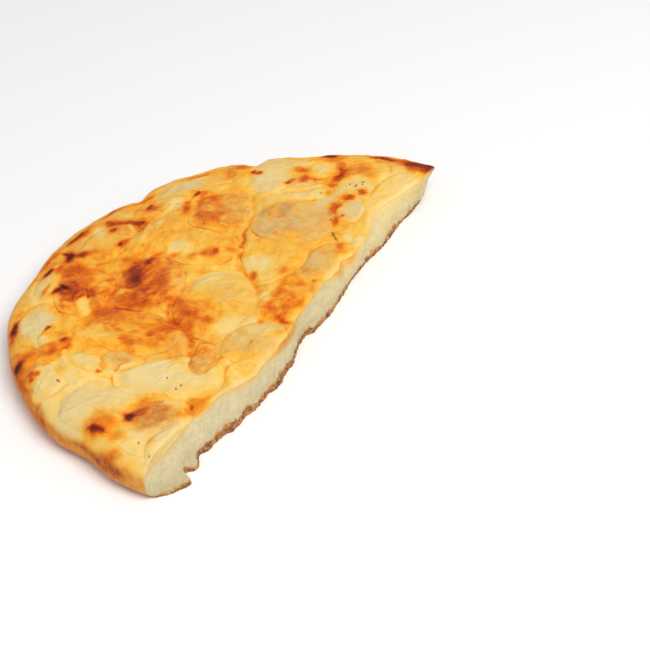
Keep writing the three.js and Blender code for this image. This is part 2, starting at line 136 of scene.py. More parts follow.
# Washes of tone: x, y, half length, half width, turn, browning, dryness, share, and the slice
# that the wash stays on (0 is everywhere). Browning runs from 0 cream, 0.25 yellow, 0.45 gold,
# 0.55 orange, 0.7 red-brown, 0.85 dark brown to 1 nearly black. Dry places are dull and tan.
WASHES = [
    # left third, from the rim inwards
    (-139, 25, 5, 22, 12, .62, .6, .95, 0), (-147, 6, 5, 14, 10, .54, .6, .8, 0),
    (-118, 45, 22, 18, 10, .10, .8, .9, 6), (-125, 52, 6, 12, 20, .17, .6, .6, 0),
    (-128, 24, 8, 8, 0, .24, .5, .6, 0), (-123, 8, 18, 11, 0, .15, .3, .85, 0),
    (-136, 6, 6, 8, 0, .22, .3, .6, 0), (-109, 15, 10, 11, 0, .40, .9, .8, 7),
    (-117, 10, 8, 5, 10, .22, .5, .7, 0), (-106, 13, 12, 11, 0, .43, .8, .95, 7),
    (-103, 17, 13, 12, 20, .49, .75, 1., 7), (-105, 6, 8, 5, 30, .42, .6, .9, 7),
    (-118, 2, 16, 7, 0, .14, .6, .9, 8), (-96, 12, 3, 8, 15, .20, .2, .7, 0),
    (-95, 2, 9, 7, 0, .49, 0, 1., 0), (-80, 28, 17, 25, 12, .09, .35, .95, 30),
    (-70, 22, 8, 12, 0, .20, .3, .7, 30), (-90, 20, 6, 10, 0, .16, .2, .5, 30),
    (-74, 8, 9, 4, 10, .20, .2, .6, 30), (-61, 20, 16, 9, 18, .46, .65, .95, 34),
    (-56, 23, 7, 4, 20, .54, .2, .8, 34), (-60, 34, 12, 6, 35, .47, .4, .95, 0),
    (-66, 41, 6, 5, -30, .40, .2, .7, 0), (-64, 1, 10, 8, 0, .26, 0, .8, 0),
    (-71, -2, 5, 5, 0, .15, .1, .7, 0), (-57, -4, 6, 5, 0, .20, .1, .7, 0),
    (-77, 54, 7, 9, 5, .34, .6, .8, 9), (-86, 62, 5, 12, -12, .12, .3, .8, 5),
    (-92, 66, 3.5, 12, -15, .28, 0, .7, 5), (-99, 63, 8, 8, 0, .19, .2, .7, 0),
    (-80, 74, 6, 6, 30, .30, .1, .7, 0), (-88, 78, 6, 5, 0, .22, .2, .7, 0),
    (-104, 78, 10, 9, 40, .14, .5, .8, 4), (-114, 71, 8, 8, 40, .27, .2, .7, 0),
    (-122, 64, 8, 6, 30, .22, .3, .7, 0), (-113, 84, 11, 4, 50, .55, .4, .9, 0),
    (-122, 71, 9, 4, 52, .56, .8, .9, 0), (-101, 93, 12, 4.5, 45, .61, .2, .9, 0),
    (-94, 98, 8, 4, 35, .74, .3, .95, 0), (-108, 90, 8, 3, 48, .64, .3, .8, 0),
    (-98, 88, 5, 4, 40, .50, .9, .8, 0), (-90, 93, 10, 5, 20, .50, .1, .9, 0),
    (-88, 85, 9, 4, 20, .47, 0, .8, 0), (-93, 101, 8, 4, 42, .46, .1, .8, 0),
    (-80, 95, 5, 4, 30, .15, .2, .9, 0), (-76, 89, 4, 4, 0, .30, .1, .8, 0),
    (-76, 83.5, 4, 3.5, 0, .54, 0, .9, 0), (-85, 88, 6, 4, 20, .57, .1, .85, 0),
    (-69, 107, 15, 9, 30, .11, .85, .95, 1), (-60, 117, 9, 4, 20, .30, .2, .8, 0),
    (-56, 110, 5, 8, 0, .32, .1, .7, 0), (-85, 103, 8, 4, 35, .40, .2, .7, 0),
    (-64, 92, 9, 5, 30, .40, 0, .8, 0), (-74, 76, 6, 12, 0, .47, 0, .85, 0),
    (-82, 84, 9, 5, 20, .50, 0, .8, 0), (-70, 62, 3, 13, -5, .47, 0, .85, 0),
    # left of the middle
    (-52, 62, 13, 22, -8, .46, 0, .9, 10), (-60, 66, 5, 10, -8, .38, .1, .8, 10),
    (-66, 72, 3.5, 12, -8, .26, .3, .85, 0), (-58, 78, 7, 6, 0, .38, .1, .7, 10),
    (-62, 54, 5, 10, 0, .54, 0, .85, 10), (-50, 50, 9, 9, 20, .54, 0, .95, 10),
    (-48, 83, 9, 9, 20, .57, 0, .9, 0), (-56, 90, 10, 4, 30, .47, 0, .8, 0),
    (-48, 99, 10, 6, 30, .50, 0, .8, 0), (-54, 103, 6, 6, 0, .42, 0, .8, 0),
    (-38, 103, 13, 10, 10, .65, 0, .95, 0), (-44, 120, 12, 5, 12, .15, .6, .95, 0),
    (-33, 121, 8, 3, 10, .20, .4, .8, 0), (-52, 118, 5, 4, 0, .18, .5, .7, 0),
    (-26, 114, 10, 8, 0, .58, 0, .9, 0), (-23, 124, 6, 4, 10, .46, 0, .8, 0),
    (-17, 104, 9, 7, 20, .46, 0, .9, 0), (-28, 94, 9, 6, 30, .52, 0, .9, 0),
    (-37, 90, 8, 5, 30, .50, 0, .9, 0), (-36, 72, 10, 11, 0, .58, 0, .95, 11),
    (-19, 80, 17, 10, 20, .63, 0, .95, 11), (-24, 66, 12, 6, 20, .52, .1, .85, 11),
    (-8, 62, 14, 5, 15, .32, .5, .95, 11), (-2, 72, 9, 6, 10, .48, .2, .9, 11),
    (-14, 71, 10, 3.5, 30, .62, .1, .8, 11), (5, 80, 6, 6, 0, .46, .1, .8, 0),
    (-27, 56, 9, 4, 15, .48, .1, .9, 0),
    # middle
    (-33, 46, 14, 12, 25, .55, 0, .95, 33), (-20, 46, 10, 9, 0, .45, 0, .85, 33),
    (-32, 32, 12, 7, 5, .38, .1, .8, 33), (-5, 46, 13, 12, 10, .26, .4, .95, 33),
    (-12, 30, 16, 8, 10, .29, .3, .9, 33), (-36, 24, 10, 5, 0, .23, .3, .85, 33),
    (1, 38, 7, 8, 30, .25, .3, .7, 33), (6, 60, 5, 8, -10, .24, .1, .8, 0),
    (-1, 57, 3, 5, 0, .34, .3, .6, 0), (20, 72, 14, 19, 0, .29, 0, .9, 16),
    (27, 64, 7, 9, 0, .35, 0, .8, 16), (13, 79, 8, 5.5, 40, .13, .1, .95, 0),
    (16, 67, 6, 7, 40, .26, 0, .7, 16), (17, 60, 6, 6, 0, .30, .1, .6, 16),
    (30, 80, 4, 10, 0, .34, 0, .7, 16), (12, 92, 14, 5, 10, .37, 0, .8, 0),
    (27, 103, 14, 7, 5, .46, .3, .9, 0), (20, 110, 8, 5, -10, .52, .3, .9, 0),
    (2, 98, 10, 5, 20, .42, 0, .8, 0), (-4, 111, 9, 6, 10, .46, .1, .8, 0),
    (8, 118, 10, 6, 0, .31, .2, .8, 0), (4, 128, 16, 5, 0, .34, .4, .8, 0),
    (12, 125, 5, 3.5, 30, .14, .4, .9, 0), (28, 122, 8, 6, -10, .34, .4, .8, 0),
    (36, 117, 8, 5, 0, .46, .1, .8, 0), (44, 112, 9, 6, -20, .44, .1, .8, 0),
    (40, 103, 9, 4, 0, .28, .3, .8, 0), (50, 104, 6, 5, 0, .15, .4, .85, 0),
    (58, 112, 9, 7, -30, .20, .6, .9, 0), (70, 110, 14, 7, -33, .20, .9, .95, 17),
    (84, 96, 10, 7, -40, .38, .2, .8, 0), (92, 92, 7, 6, -40, .46, .2, .8, 0),
    (74, 94, 9, 4, -20, .30, .3, .8, 0), (60, 97, 10, 2.5, 15, .34, .2, .8, 0),
    (53, 77, 20, 19, 10, .42, .3, 1., 21), (44, 81, 8, 8, 0, .51, .1, .8, 21),
    (60, 88, 11, 5, 30, .50, .1, .8, 21), (62, 70, 8, 6, 20, .33, .4, .8, 21),
    (39, 66, 5, 10, 0, .40, .1, .8, 21), (60, 62, 9, 3, 20, .24, .3, .8, 0),
    (52, 45, 14, 13, 0, .29, 1., .95, 32), (63, 51, 9, 8, 0, .40, 1., .95, 32),
    (56, 27, 15, 9, 10, .31, .7, .9, 32), (70, 32, 7, 10, 0, .27, .8, .8, 32),
    (31, 45, 8, 8, 0, .30, .1, .9, 31), (37, 34, 5, 15, 0, .40, .1, .9, 31),
    (-2, 50, 7, 6, 20, .17, .2, .8, 33), (1, 57, 4, 4, 0, .46, 0, .9, 0),
    (16, 36, 9, 8, 30, .14, .3, .95, 31), (22, 23, 12, 5, 10, .31, 0, .85, 31),
    (9, 26, 5, 5, 0, .22, .2, .7, 0),
    # along the cut
    (-42, 8, 10, 9, 0, .31, .8, 1., 28), (-42, -4, 10, 5, 0, .25, .5, .85, 28),
    (-30, 8, 7, 9, 0, .23, .7, .9, 0), (-30, 17, 6, 4, 0, .19, .6, .8, 0),
    (-8, 8, 16, 9, 5, .46, 0, .95, 27), (-20, 6, 4, 8, 0, .52, 0, .9, 0),
    (6, 12, 8, 6, 10, .46, .1, .85, 0), (-7, 18, 6, 2.5, 20, .17, .4, .85, 0),
    (2, 20, 6, 3, 30, .28, .2, .7, 0), (-36, 21, 9, 5, 0, .17, .4, .9, 0),
    (14, 16, 8, 3, 10, .42, .1, .8, 0), (26, 8, 15, 7, 10, .34, .8, .95, 26),
    (30, -2, 14, 5, 10, .31, .2, .8, 0), (15, 3, 7, 5, 20, .42, .3, .8, 26),
    (42, 2, 9, 5, 20, .42, .1, .8, 0), (46, 12, 8, 5, 20, .36, .3, .8, 0),
    (54, 4, 5, 7, -30, .13, .2, .95, 0), (61, 9, 6, 4, 20, .29, 0, .8, 0),
    (72, 5, 14, 5, 10, .27, 0, .9, 0), (88, 12, 12, 4, 10, .27, 0, .8, 0),
    (78, 16, 11, 6, 15, .20, .8, .95, 25), (82, 33, 8, 6, 0, .22, .85, .95, 0),
    # right third
    (84, 46, 8, 9, 30, .21, .4, .9, 20), (76, 57, 7, 8, 30, .23, .3, .8, 0),
    (92, 54, 6, 6, 0, .15, .6, .9, 0), (90, 70, 13, 10, 20, .11, .65, .95, 18),
    (101, 78, 10, 6, -20, .18, .4, .85, 18), (108, 66, 8, 10, 10, .19, .3, .8, 18),
    (84, 60, 7, 5, 30, .20, .3, .8, 0), (108, 50, 8, 8, -30, .23, .1, .9, 0),
    (111, 47, 8, 7, 10, .24, .1, .85, 19), (121, 52, 4, 9, 20, .50, .2, .85, 0),
    (104, 42, 9, 4, 10, .42, .1, .8, 0), (115, 34, 9, 12, 0, .50, .1, .95, 22),
    (118, 39, 7, 6, 0, .58, .1, .95, 0), (122, 40, 5, 6, 0, .33, .1, .8, 0),
    (124, 26, 6, 8, 0, .33, .1, .8, 0), (125, 13, 5, 8, 0, .30, .4, .95, 0),
    (101, 27, 10, 9, 20, .18, .35, .8, 0), (101, 14, 9, 3, 10, .26, .1, .8, 0),
    (112, 12, 10, 6, 10, .20, .1, .9, 0), (106, 4, 16, 7, 5, .14, .1, .9, 0),
    (110, -1, 17, 5, 0, .12, .25, .85, 0), (-120, -2, 20, 7, 0, .20, .95, .95, 0),
    (-86, -3, 10, 4, 0, .20, .6, .8, 0),
]
# Stretches of the cut's upper edge that are orange and not pale: place, reach.
ORANGE_EDGES = [(-8, 15), (-95.5, 9.5), (-40, 9)]

# Lines: points, half width, browning, depth pressed in (negative is a raised fold). Along the deepest
# creases the browning is partly painted shade.
LINES = [
    ([(-98, 31), (-96, 22), (-93, 12), (-88, 4), (-80, 2), (-71, 3)], 0.9, .33, .25),
    ([(-84, 49), (-74, 43), (-66, 34), (-60, 27)], 1.0, .42, .7),
    # The deepest crease: its red-brown is partly painted shade.
    ([(-62, 26), (-55, 30), (-48, 36), (-44, 44), (-41, 51)], 1.8, .76, 1.4),
    ([(-41, 51), (-37, 55), (-30, 58), (-18, 59), (-9, 59)], 1.2, .60, 1.1),
    ([(-72, 13), (-62, 14.5), (-52, 18.5), (-47, 26)], 1.0, .52, .6),
    ([(-70, 21), (-60, 22), (-50, 28)], 0.6, .50, -.2), ([(-58, 36), (-49, 41)], 0.8, .48, -.4),
    ([(-64, 39), (-54, 41)], 0.7, .46, .3), ([(-62, 31), (-52, 37)], 0.6, .36, -.3),
    ([(-83, 60), (-79, 63.5), (-73, 62), (-70.5, 54), (-73, 46)], 0.8, .52, .3),
    ([(-93, 58), (-92, 68), (-87, 77), (-80, 80)], 0.8, .38, .3),
    ([(1, 69), (5, 60), (11, 50)], 1.0, .36, .2), ([(-2, 63), (2, 56), (4, 50)], 0.7, .40, .2),
    ([(-5, 24), (2, 30), (8, 38), (13, 45), (22, 49)], 1.4, .54, 1.2),
    ([(12, 17), (24, 15.5), (34, 17), (39, 20)], 0.6, .42, .3),
    ([(27, 51.5), (33, 54), (38, 57), (45, 59)], 1.1, .70, .9),
    ([(45, 59), (58, 62), (66, 67), (72, 71)], 1.0, .50, .7),
    ([(34.5, 57), (34.8, 70), (34.2, 86)], 0.8, .47, .6),
    ([(62, 71), (74, 66), (82, 58), (91, 43)], 1.1, .27, -.3),
    ([(72, 68), (80, 58), (88, 46)], 0.6, .38, .3), ([(-22, -6), (-22, 0), (-20, 5)], 1.2, .64, .2),
    ([(-60, 2), (-52, 8), (-50, -6)], 0.7, .34, .2),
    ([(20, 126), (21, 121), (24, 114), (28.5, 109)], 2.0, .76, -.4),
    ([(23, 124), (26, 117), (29, 112)], 1.0, .56, .3),
    ([(-67, 83), (-60, 86), (-50, 92), (-42, 98)], 0.8, .48, .4),
    ([(-36, 100), (-24, 98), (-10, 92)], 0.7, .56, .3), ([(-4, 103), (1, 106), (8, 108)], 0.6, .56, .3),
    ([(-20, 108), (-8, 101), (6, 104)], 0.6, .50, -.3), ([(0, 92), (12, 96), (26, 94)], 0.8, .46, .3),
    ([(4, 86), (18, 89), (33, 88)], 0.6, .42, -.3), ([(44, 100), (54, 99), (66, 98)], 0.7, .56, .3),
    ([(72, 96), (84, 88), (94, 87)], 0.8, .42, .4), ([(48, 118), (56, 108), (60, 100)], 0.8, .38, .3),
    ([(74, 108), (84, 101), (92, 97)], 0.6, .44, -.3),
    ([(-120, 62), (-108, 62.5), (-99, 58)], 0.6, .24, .25),
    ([(-132, 14), (-122, 12), (-112, 9), (-106, -1)], 0.7, .27, .25),
    ([(98, 62), (101, 53), (103, 45)], 0.8, .50, .3), ([(-86, 96), (-79, 84)], 0.8, .52, .3),
    ([(-100, 88), (-92, 90), (-84, 88)], 0.8, .56, .3), ([(92, 20), (97, 15), (106, 16)], 0.7, .36, .3),
    ([(36, -2), (46, 3), (60, 5)], 0.6, .44, .2), ([(14, -4), (22, 0), (34, 9)], 0.6, .42, .3),
    ([(-38, 18), (-38, 6), (-33, -6)], 0.6, .36, .3), ([(-104, -1), (-100, 7), (-92, 12)], 0.8, .14, -.4),
    ([(-70, -4), (-64, 4), (-59, 9)], 0.8, .16, -.4),
    ([(-92, 54), (-94, 64), (-90, 76), (-83, 81)], 1.0, .16, -.4),
    ([(-88, 6), (-93, 22), (-94, 44)], 0.8, .22, -.3), ([(8, 50), (5, 58), (1, 66)], 0.8, .14, -.3),
    ([(-63, 36), (-56, 37), (-50, 40)], 0.9, .22, -.5), ([(76, 66), (84, 56), (93, 43)], 1.6, .16, -.6),
    ([(72, 67), (78, 60), (83, 52), (91, 42.5)], 0.7, .42, .5),
    ([(-60, 84), (-50, 90), (-42, 95)], 0.8, .44, .4), ([(2, 98), (14, 101), (30, 106)], 0.8, .24, -.4),
    ([(14, 104), (26, 109), (36, 108)], 0.7, .46, .4), ([(46, 6), (52, -1), (58, -5)], 0.8, .20, -.4),
    ([(60, -2), (68, 6), (80, 10)], 0.7, .36, .3), ([(-30, 110), (-24, 100), (-16, 96)], 0.8, .60, .4),
    ([(-58, 70), (-52, 78), (-46, 82)], 0.7, .56, .4), ([(-68, 48), (-66, 60), (-68, 74)], 0.8, .30, -.4),
]

# Browned spots: x, y, half length, half width, turn, browning, softness of the edge.
SPOTS = [
    (-95, 2, 8, 5.2, 15, .51, .35), (-121, 35, 8, 6.5, 10, .50, .4), (-121, 33, 4.5, 4, 0, .57, .8),
    (-125.5, 24, 3.8, 3.6, 0, .47, .7), (-124.8, 35.2, 2.0, 3.0, -8, .88, .6),
    (-111.5, 26.6, 3.8, 1.9, 30, .93, .5), (-107.5, 24, 4.4, 2.9, 10, .71, .8),
    (-100, 27, 5, 2.5, -30, .55, .8), (-123, 8, 3, 1.6, 0, .40, .8), (-136, 37, 4, 2.4, 30, .66, .8),
    (-139.5, 28, 3.4, 8, 10, .74, .7), (-142.5, 16, 2.4, 8, 5, .66, .8),
    (-99.2, 95.8, 2.8, 2.1, 25, .94, .6), (-104, 92.5, 6, 2.8, 42, .64, .9),
    (-93.5, 95, 4.5, 2.4, 15, .64, .8), (-110, 87, 5, 2.4, 45, .72, .8),
    (-105.7, 83, 1.3, 1.2, 0, .69, .5), (-103, 85, 1.4, 1.2, 0, .69, .5),
    (-102, 82.4, 1.1, 1.3, 0, .66, .5), (-86, 86, 3.4, 1.7, 10, .66, .7), (-82, 88, 2, 1.2, 40, .58, .7),
    (-76, 84.8, 2.2, 1.7, 0, .66, .6), (-76, 86.3, 1.0, 0.7, 0, .82, .5),
    (-71, 98.5, 2.0, 0.7, 5, .84, .4), (-75, 115, 5.4, 1.3, 25, .90, .5), (-82, 111, 4, 1.2, 32, .70, .7),
    (-86, 58, 2.6, 1.8, 20, .46, .7), (-91, 56.5, 1.2, 1.0, 30, .62, .5),
    (-64.5, 58, 2.7, 5.5, 0, .63, .7), (-56, 51, 2.2, 2.1, 0, .66, .7), (-63, 47, 2.6, 4.4, 0, .53, .8),
    (-49.5, 46, 3, 3.6, 20, .66, .7), (-60, 73, 0.9, 0.9, 0, .52, .5), (-58, 84, 3.2, 2.4, 0, .55, .8),
    (-48, 83, 5, 7, 25, .65, .8), (-48, 75, 3, 5, 10, .58, .8), (-46, 117.6, 5, 0.9, 8, .58, .6),
    (-42.5, 112, 4.2, 1.1, -15, .88, .5), (-39.4, 110.8, 1.0, 2.8, -12, .95, .5),
    (-37, 108, 6, 5, 0, .66, .8), (-31, 126, 4.6, 1.4, 6, .92, .45),
    (-26.5, 123.2, 3.4, 1.8, 10, .68, .7), (-39, 100.5, 3, 3, 0, .66, .8), (-24, 116, 6, 4, 0, .67, .8),
    (-24, 108, 4.4, 3, 0, .60, .8), (-24, 96, 2.6, 1.6, 0, .62, .7), (-6, 98, 2.2, 2, 0, .62, .7),
    (-28, 104, 3.4, 2.4, 0, .58, .8), (-15, 125.4, 4.2, 1.7, 15, .93, .45),
    (-12.8, 128, 1.2, 2.6, 0, .90, .5), (-10, 121, 2.2, 4.2, 30, .78, .6),
    (-6, 117, 3.4, 2.2, -35, .60, .8), (-11, 89.5, 6.5, 3.4, 15, .74, .9), (-17, 85, 8, 4.6, 32, .80, .9),
    (-19.5, 83, 4.0, 2.0, 28, .88, .8), (-24, 79, 4, 3, 30, .68, .9), (-3.5, 86.2, 4.4, 1.7, 6, .82, .6),
    (4, 86, 3.2, 1.5, -10, .62, .6), (6.5, 78, 2, 2.8, 10, .56, .7), (-16, 71.5, 9, 3.0, 32, .68, .8),
    (-26, 64, 2.2, 1.6, 0, .62, .7), (-8, 66, 1.6, 1.3, 0, .52, .6), (-36, 80, 4, 5, 0, .62, .8),
    (-35, 48, 3.2, 1.5, 10, .60, .8), (-34, 42, 2.8, 2.1, 0, .64, .7), (-36, 34, 3.2, 3.1, 0, .66, .7),
    (-43, 39.5, 5, 2.4, 20, .62, .7), (-30, 52, 5, 2, 10, .58, .8), (9, 69, 3, 2.1, -10, .52, .6),
    (15, 62, 3.8, 3.8, 0, .60, .6), (17, 60, 2, 1.6, 0, .72, .6), (13, 65, 1.6, 1.2, 0, .62, .5),
    (22, 54, 2.2, 2, -30, .54, .7), (8, 33.5, 2.6, 1.3, 15, .64, .6), (14.5, 21, 3, 1.9, 10, .58, .7),
    (-26.3, 10.5, 1.7, 1.1, 0, .62, .5), (-21.5, 1.5, 1.7, 4.6, -14, .70, .6),
    (-16, 11, 2.6, 2, 0, .62, .7), (-12, 5, 2.2, 2.4, 0, .62, .7), (-1.5, 13, 3.2, 2, -12, .62, .7),
    (-6, 0, 3, 2, 10, .60, .7), (5, 15.5, 3.4, 1.4, 0, .56, .7), (8, 8, 3, 1.6, 20, .58, .7),
    (12, 2.6, 1.4, 0.8, 10, .62, .5), (-44, 5, 1.8, 1.1, 20, .50, .5), (46, 7, 3.2, 1.7, 20, .60, .6),
    (38, 0.5, 3, 1.2, 25, .50, .7), (22, -4, 4, 1.2, 20, .50, .7), (64, 14, 4, 1.6, 25, .44, .8),
    (43, 41, 1.6, 1.2, 0, .48, .6), (60, 52, 6, 2.4, 10, .38, .9), (7, 132.6, 5, 1.9, -4, .63, .7),
    (4, 134.4, 9, 0.9, -2, .82, .5), (14.5, 118.4, 2.6, 2.0, -20, .76, .6),
    (27, 110.5, 2.6, 2.0, -30, .80, .6), (4.6, 108.4, 1.7, 0.7, 5, .84, .5),
    (6.5, 107, 3.4, 1.8, -10, .66, .6), (42, 113, 3.2, 2.4, -40, .66, .7),
    (42, 115.2, 2.2, 0.8, 5, .80, .5), (47, 95.5, 4.2, 1.9, 22, .68, .6),
    (53, 98.2, 2.4, 0.9, 5, .62, .6), (63, 98.5, 2.2, 1.0, 10, .84, .5), (65, 96, 2, 1.6, 0, .62, .7),
    (57, 93, 6, 1.4, 20, .60, .7), (62, 88, 3.2, 2.4, 45, .66, .7), (42, 80, 3.6, 5, 0, .58, .8),
    (53, 80, 1.4, 1.2, 0, .52, .6), (92.4, 82.6, 1.3, 0.9, 30, .76, .4), (92.4, 79, 1.1, 1.3, 0, .73, .4),
    (91.0, 80.8, 0.6, 1.6, 0, .70, .4), (90.5, 59.5, 3.0, 1.5, -20, .64, .6),
    (89, 60.2, 0.9, 0.7, 0, .76, .4), (103.5, 60.5, 3.2, 4.4, 5, .57, .6),
    (104, 59, 1.8, 1.6, 0, .67, .6), (96, 54, 4.8, 2.2, 10, .69, .6), (100, 49.5, 2.0, 6, 14, .60, .7),
    (106.5, 39, 5.6, 2.4, -6, .78, .6), (97, 38.4, 2.2, 2.8, 20, .64, .7),
    (113, 38, 3.4, 1.9, 0, .60, .7), (88.6, 36, 2.4, 1.8, 0, .54, .6), (117.5, 29, 3.4, 3.2, 20, .59, .8),
    (78, 26, 6, 2.6, 0, .68, .6), (88.3, 24.5, 2.6, 2.5, 0, .72, .6), (96, 20.5, 2.4, 2.0, 20, .68, .6),
    (66, 19.6, 4.2, 1.4, 24, .66, .6), (71, 18.4, 1.8, 1.0, 0, .60, .6), (124.5, 53, 1.8, 4, 25, .88, .5),
    (120, 49, 2.6, 4, 20, .56, .8), (118, 44, 3, 2, 0, .58, .8), (129, 27, 1.4, 2, 0, .54, .6),
    (133, 27, 1.4, 8, 0, .82, .7), (132, 6, 3.4, 9, -4, .82, .5), (132, -1, 6, 2.6, 0, .80, .5),
    (129, 5, 3, 6, 0, .68, .7), (136, 0, 4, 5, 0, .84, .6), (20.5, 121.5, 2.4, 5, 30, .72, .5),
    (25.5, 114, 2.4, 5, 30, .74, .5), (80, 40, 1.6, 1.2, 0, .44, .6), (96, 90, 2, 4, 20, .60, .8),
    (30, 130, 8, 1.4, -12, .66, .8), (-20, 133, 10, 1.2, 6, .66, .8), (48, 122, 8, 1.2, -20, .64, .8),
    (80, 108, 10, 1.2, -35, .58, .8),
]
# Pale patches laid last: x, y, half length, half width, turn, browning, softness.
PALE_SPOTS = [
    (-48, 94.5, 8.5, 2.7, 33, .17, .4), (-31, 84.5, 3, 1.8, 30, .30, .7), (-86, 69, 2.2, 7, -20, .12, .6),
    (-62, 29, 4, 1, 35, .30, .7), (52, 105, 4, 1.2, 40, .12, .6), (20, 112, 4, 1.2, 50, .22, .7),
    (30, 101, 5, 1.2, 20, .22, .7), (-26, 126, 3, 1, 10, .20, .6), (-55, 60, 2, 1, 20, .34, .7),
    (-80, 96, 3.4, 2.4, 20, .14, .5), (12, 47, 7, 1.2, 25, .20, .6),
]

# Tone of the round side: angle, height, reach along, reach up, browning, dryness, share.
SIDE_PATCHES = [
    (178, 7, 10, 9, .40, .55, .9), (172, 4, 16, 4, .50, .6, .8), (170, 10, 16, 4.0, .66, .7, .95),
    (165, 11.5, 12, 3.0, .70, .7, .9), (160, 5, 16, 4, .52, .5, .8), (150, 6, 18, 6, .50, .5, .8),
    (148, 11, 14, 4, .56, .3, .8), (138, 9, 16, 5, .60, .4, .9), (134, 13, 6, 2.4, .74, .3, .8),
    (124, 9, 14, 6, .50, .4, .8), (112, 12, 8, 2, .74, .4, .7), (104, 6, 9, 3, .68, .7, .7),
    (96, 8, 22, 7, .48, .5, .8), (84, 13, 16, 3, .68, .4, .7), (78, 7, 12, 3, .70, .8, .7),
    (66, 9, 16, 6, .50, .5, .8), (54, 7, 12, 4, .66, .7, .7), (46, 10, 16, 6, .46, .5, .8),
    (32, 11, 14, 5, .60, .4, .8), (22, 12, 8, 3, .80, .4, .8), (12, 9, 16, 7, .58, .5, .8),
    (2, 10, 8, 6, .74, .5, .9),
]

# Herb flecks: x, y, length, width, turn.
HERBS = [
    (-103.5, 69.8, 2.8, 0.9, 48), (-124.4, 57.2, 2.6, 0.9, 35), (-124.8, 56.0, 1.3, 0.6, 110),
    (-88.7, 17.1, 1.3, 0.8, 70), (-85.4, 16.7, 1.5, 0.8, 40), (-82.7, 25.6, 1.0, 0.6, 20),
    (-126.2, 12.6, 1.3, 0.6, 10), (-131, 4.2, 1.4, 0.5, 10), (-91.4, 56.5, 1.2, 0.6, 40),
    (53.2, 13.4, 7.6, 0.8, 57), (54.4, 15.5, 3.4, 0.6, 48), (99.6, 29.1, 1.5, 0.7, 20),
    (99.6, 25.6, 3.6, 0.7, -4), (104.6, 24, 1.8, 0.8, 70), (102.4, 23.2, 1.2, 0.5, 10),
    (86.3, 38.6, 1.2, 0.5, 20), (11.6, 2.6, 1.2, 0.5, 30), (66, 22.5, 1.5, 0.5, 35),
    (70.8, 18, 1.1, 0.6, 30), (-71, 98.7, 1.8, 0.5, 8), (63.3, 99.1, 1.2, 0.6, 30),
]

# ---- Grid sizes ----
BREAD_COLUMNS = 460
BREAD_WALL_ROWS = 33
BREAD_TOP_ROWS = 114
BREAD_BASE_ROWS = 26
SLICE_GRAIN = 0.6                # wanted distance between points of a slice
SPOKE_SAMPLES = 600              # points tried along each spoke of a slice
UNDERSIDE_RINGS = 6
STEP = 0.5                       # step of the painted fields


# ---- Noise and shapes in the plan ----
def fade(low, high, value):
    """Smooth step from 0 at low to 1 at high."""
    t = np.clip((value - low) / (high - low), 0, 1)
    return t * t * (3 - 2 * t)


def hump(value, middle, reach, power=2):
    """Bell: e to the minus of the distance from the middle in reaches, raised to a power."""
    return np.exp(-(((value - middle) / reach) ** power))


def pull(value, target, weight):
    """Value moved towards a target by a weight from 0 to 1."""
    return value + (target - value) * weight


def blend_corners(corners, fu, fv):
    """Value between four corners: blended by fu along the first axis, then by fv."""
    low = corners[0][0] * (1 - fu) + corners[1][0] * fu
    high = corners[0][1] * (1 - fu) + corners[1][1] * fu
    return low * (1 - fv) + high * fv


def value_noise(x, y, size, seed):
    """Smooth noise from 0 to 1: random values at the corners of squares of the given size,
    blended with the fade 3t^2 - 2t^3 between them."""
    table = np.random.default_rng(seed).random((128, 128))
    u = np.asarray(x) / size + 0.37 * seed
    v = np.asarray(y) / size + 0.71 * seed
    i, j = np.floor(u).astype(int), np.floor(v).astype(int)
    fu, fv = u - i, v - j
    corners = [[table[(i + di) % 128, (j + dj) % 128] for dj in (0, 1)] for di in (0, 1)]
    return blend_corners(corners, fu * fu * (3 - 2 * fu), fv * fv * (3 - 2 * fv))


def layered_noise(x, y, size, seed, octaves=3):
    """Sum of value noises, each half the size and 0.55 of the strength of the one before, -1 to 1."""
    weights = 0.55 ** np.arange(octaves)
    layers = [2 * value_noise(x, y, size / 2**k, seed + 17 * k) - 1 for k in range(octaves)]
    return sum(weight * layer for weight, layer in zip(weights, layers)) / weights.sum()


def ridges(x, y, size, seed):
    """Thin winding ridges: one minus the size of a noise, sharpened, 0 to 1."""
    return np.clip(1 - 2.6 * np.abs(layered_noise(x, y, size, seed, 2)), 0, 1) ** 2


def pits(x, y, spacing, radius, seed):
    """Round pits: one point jittered in each square of a grid; the depth is the half sphere of a
    random radius round the nearest point, 0 outside every pit."""
    jitter = np.random.default_rng(seed).random((128, 128, 3))
    u, v = x / spacing, y / spacing
    i, j = np.floor(u).astype(int), np.floor(v).astype(int)
    depth = np.zeros(np.broadcast(u, v).shape)
    for di in (-1, 0, 1):
        for dj in (-1, 0, 1):
            a, b = (i + di) % 128, (j + dj) % 128
            px, py, size = (jitter[a, b, k] for k in range(3))
            away = np.hypot(u - (i + di + px), v - (j + dj + py)) * spacing
            reach = radius * (0.3 + 0.7 * size**2)
            depth = np.maximum(depth, np.sqrt(np.clip(reach**2 - away**2, 0, None)))
    return depth


def turned_place(x, y, cx, cy, turn):
    """Place of points seen from a middle, along and across a direction given in degrees."""
    c, s = math.cos(math.radians(turn)), math.sin(math.radians(turn))
    return (x - cx) * c + (y - cy) * s, -(x - cx) * s + (y - cy) * c


def oval_distance(x, y, cx, cy, long, wide, turn):
    """Distance from an oval's middle as a share of the way to its edge."""
    along, across = turned_place(x, y, cx, cy, turn)
    return np.hypot(along / long, across / wide)


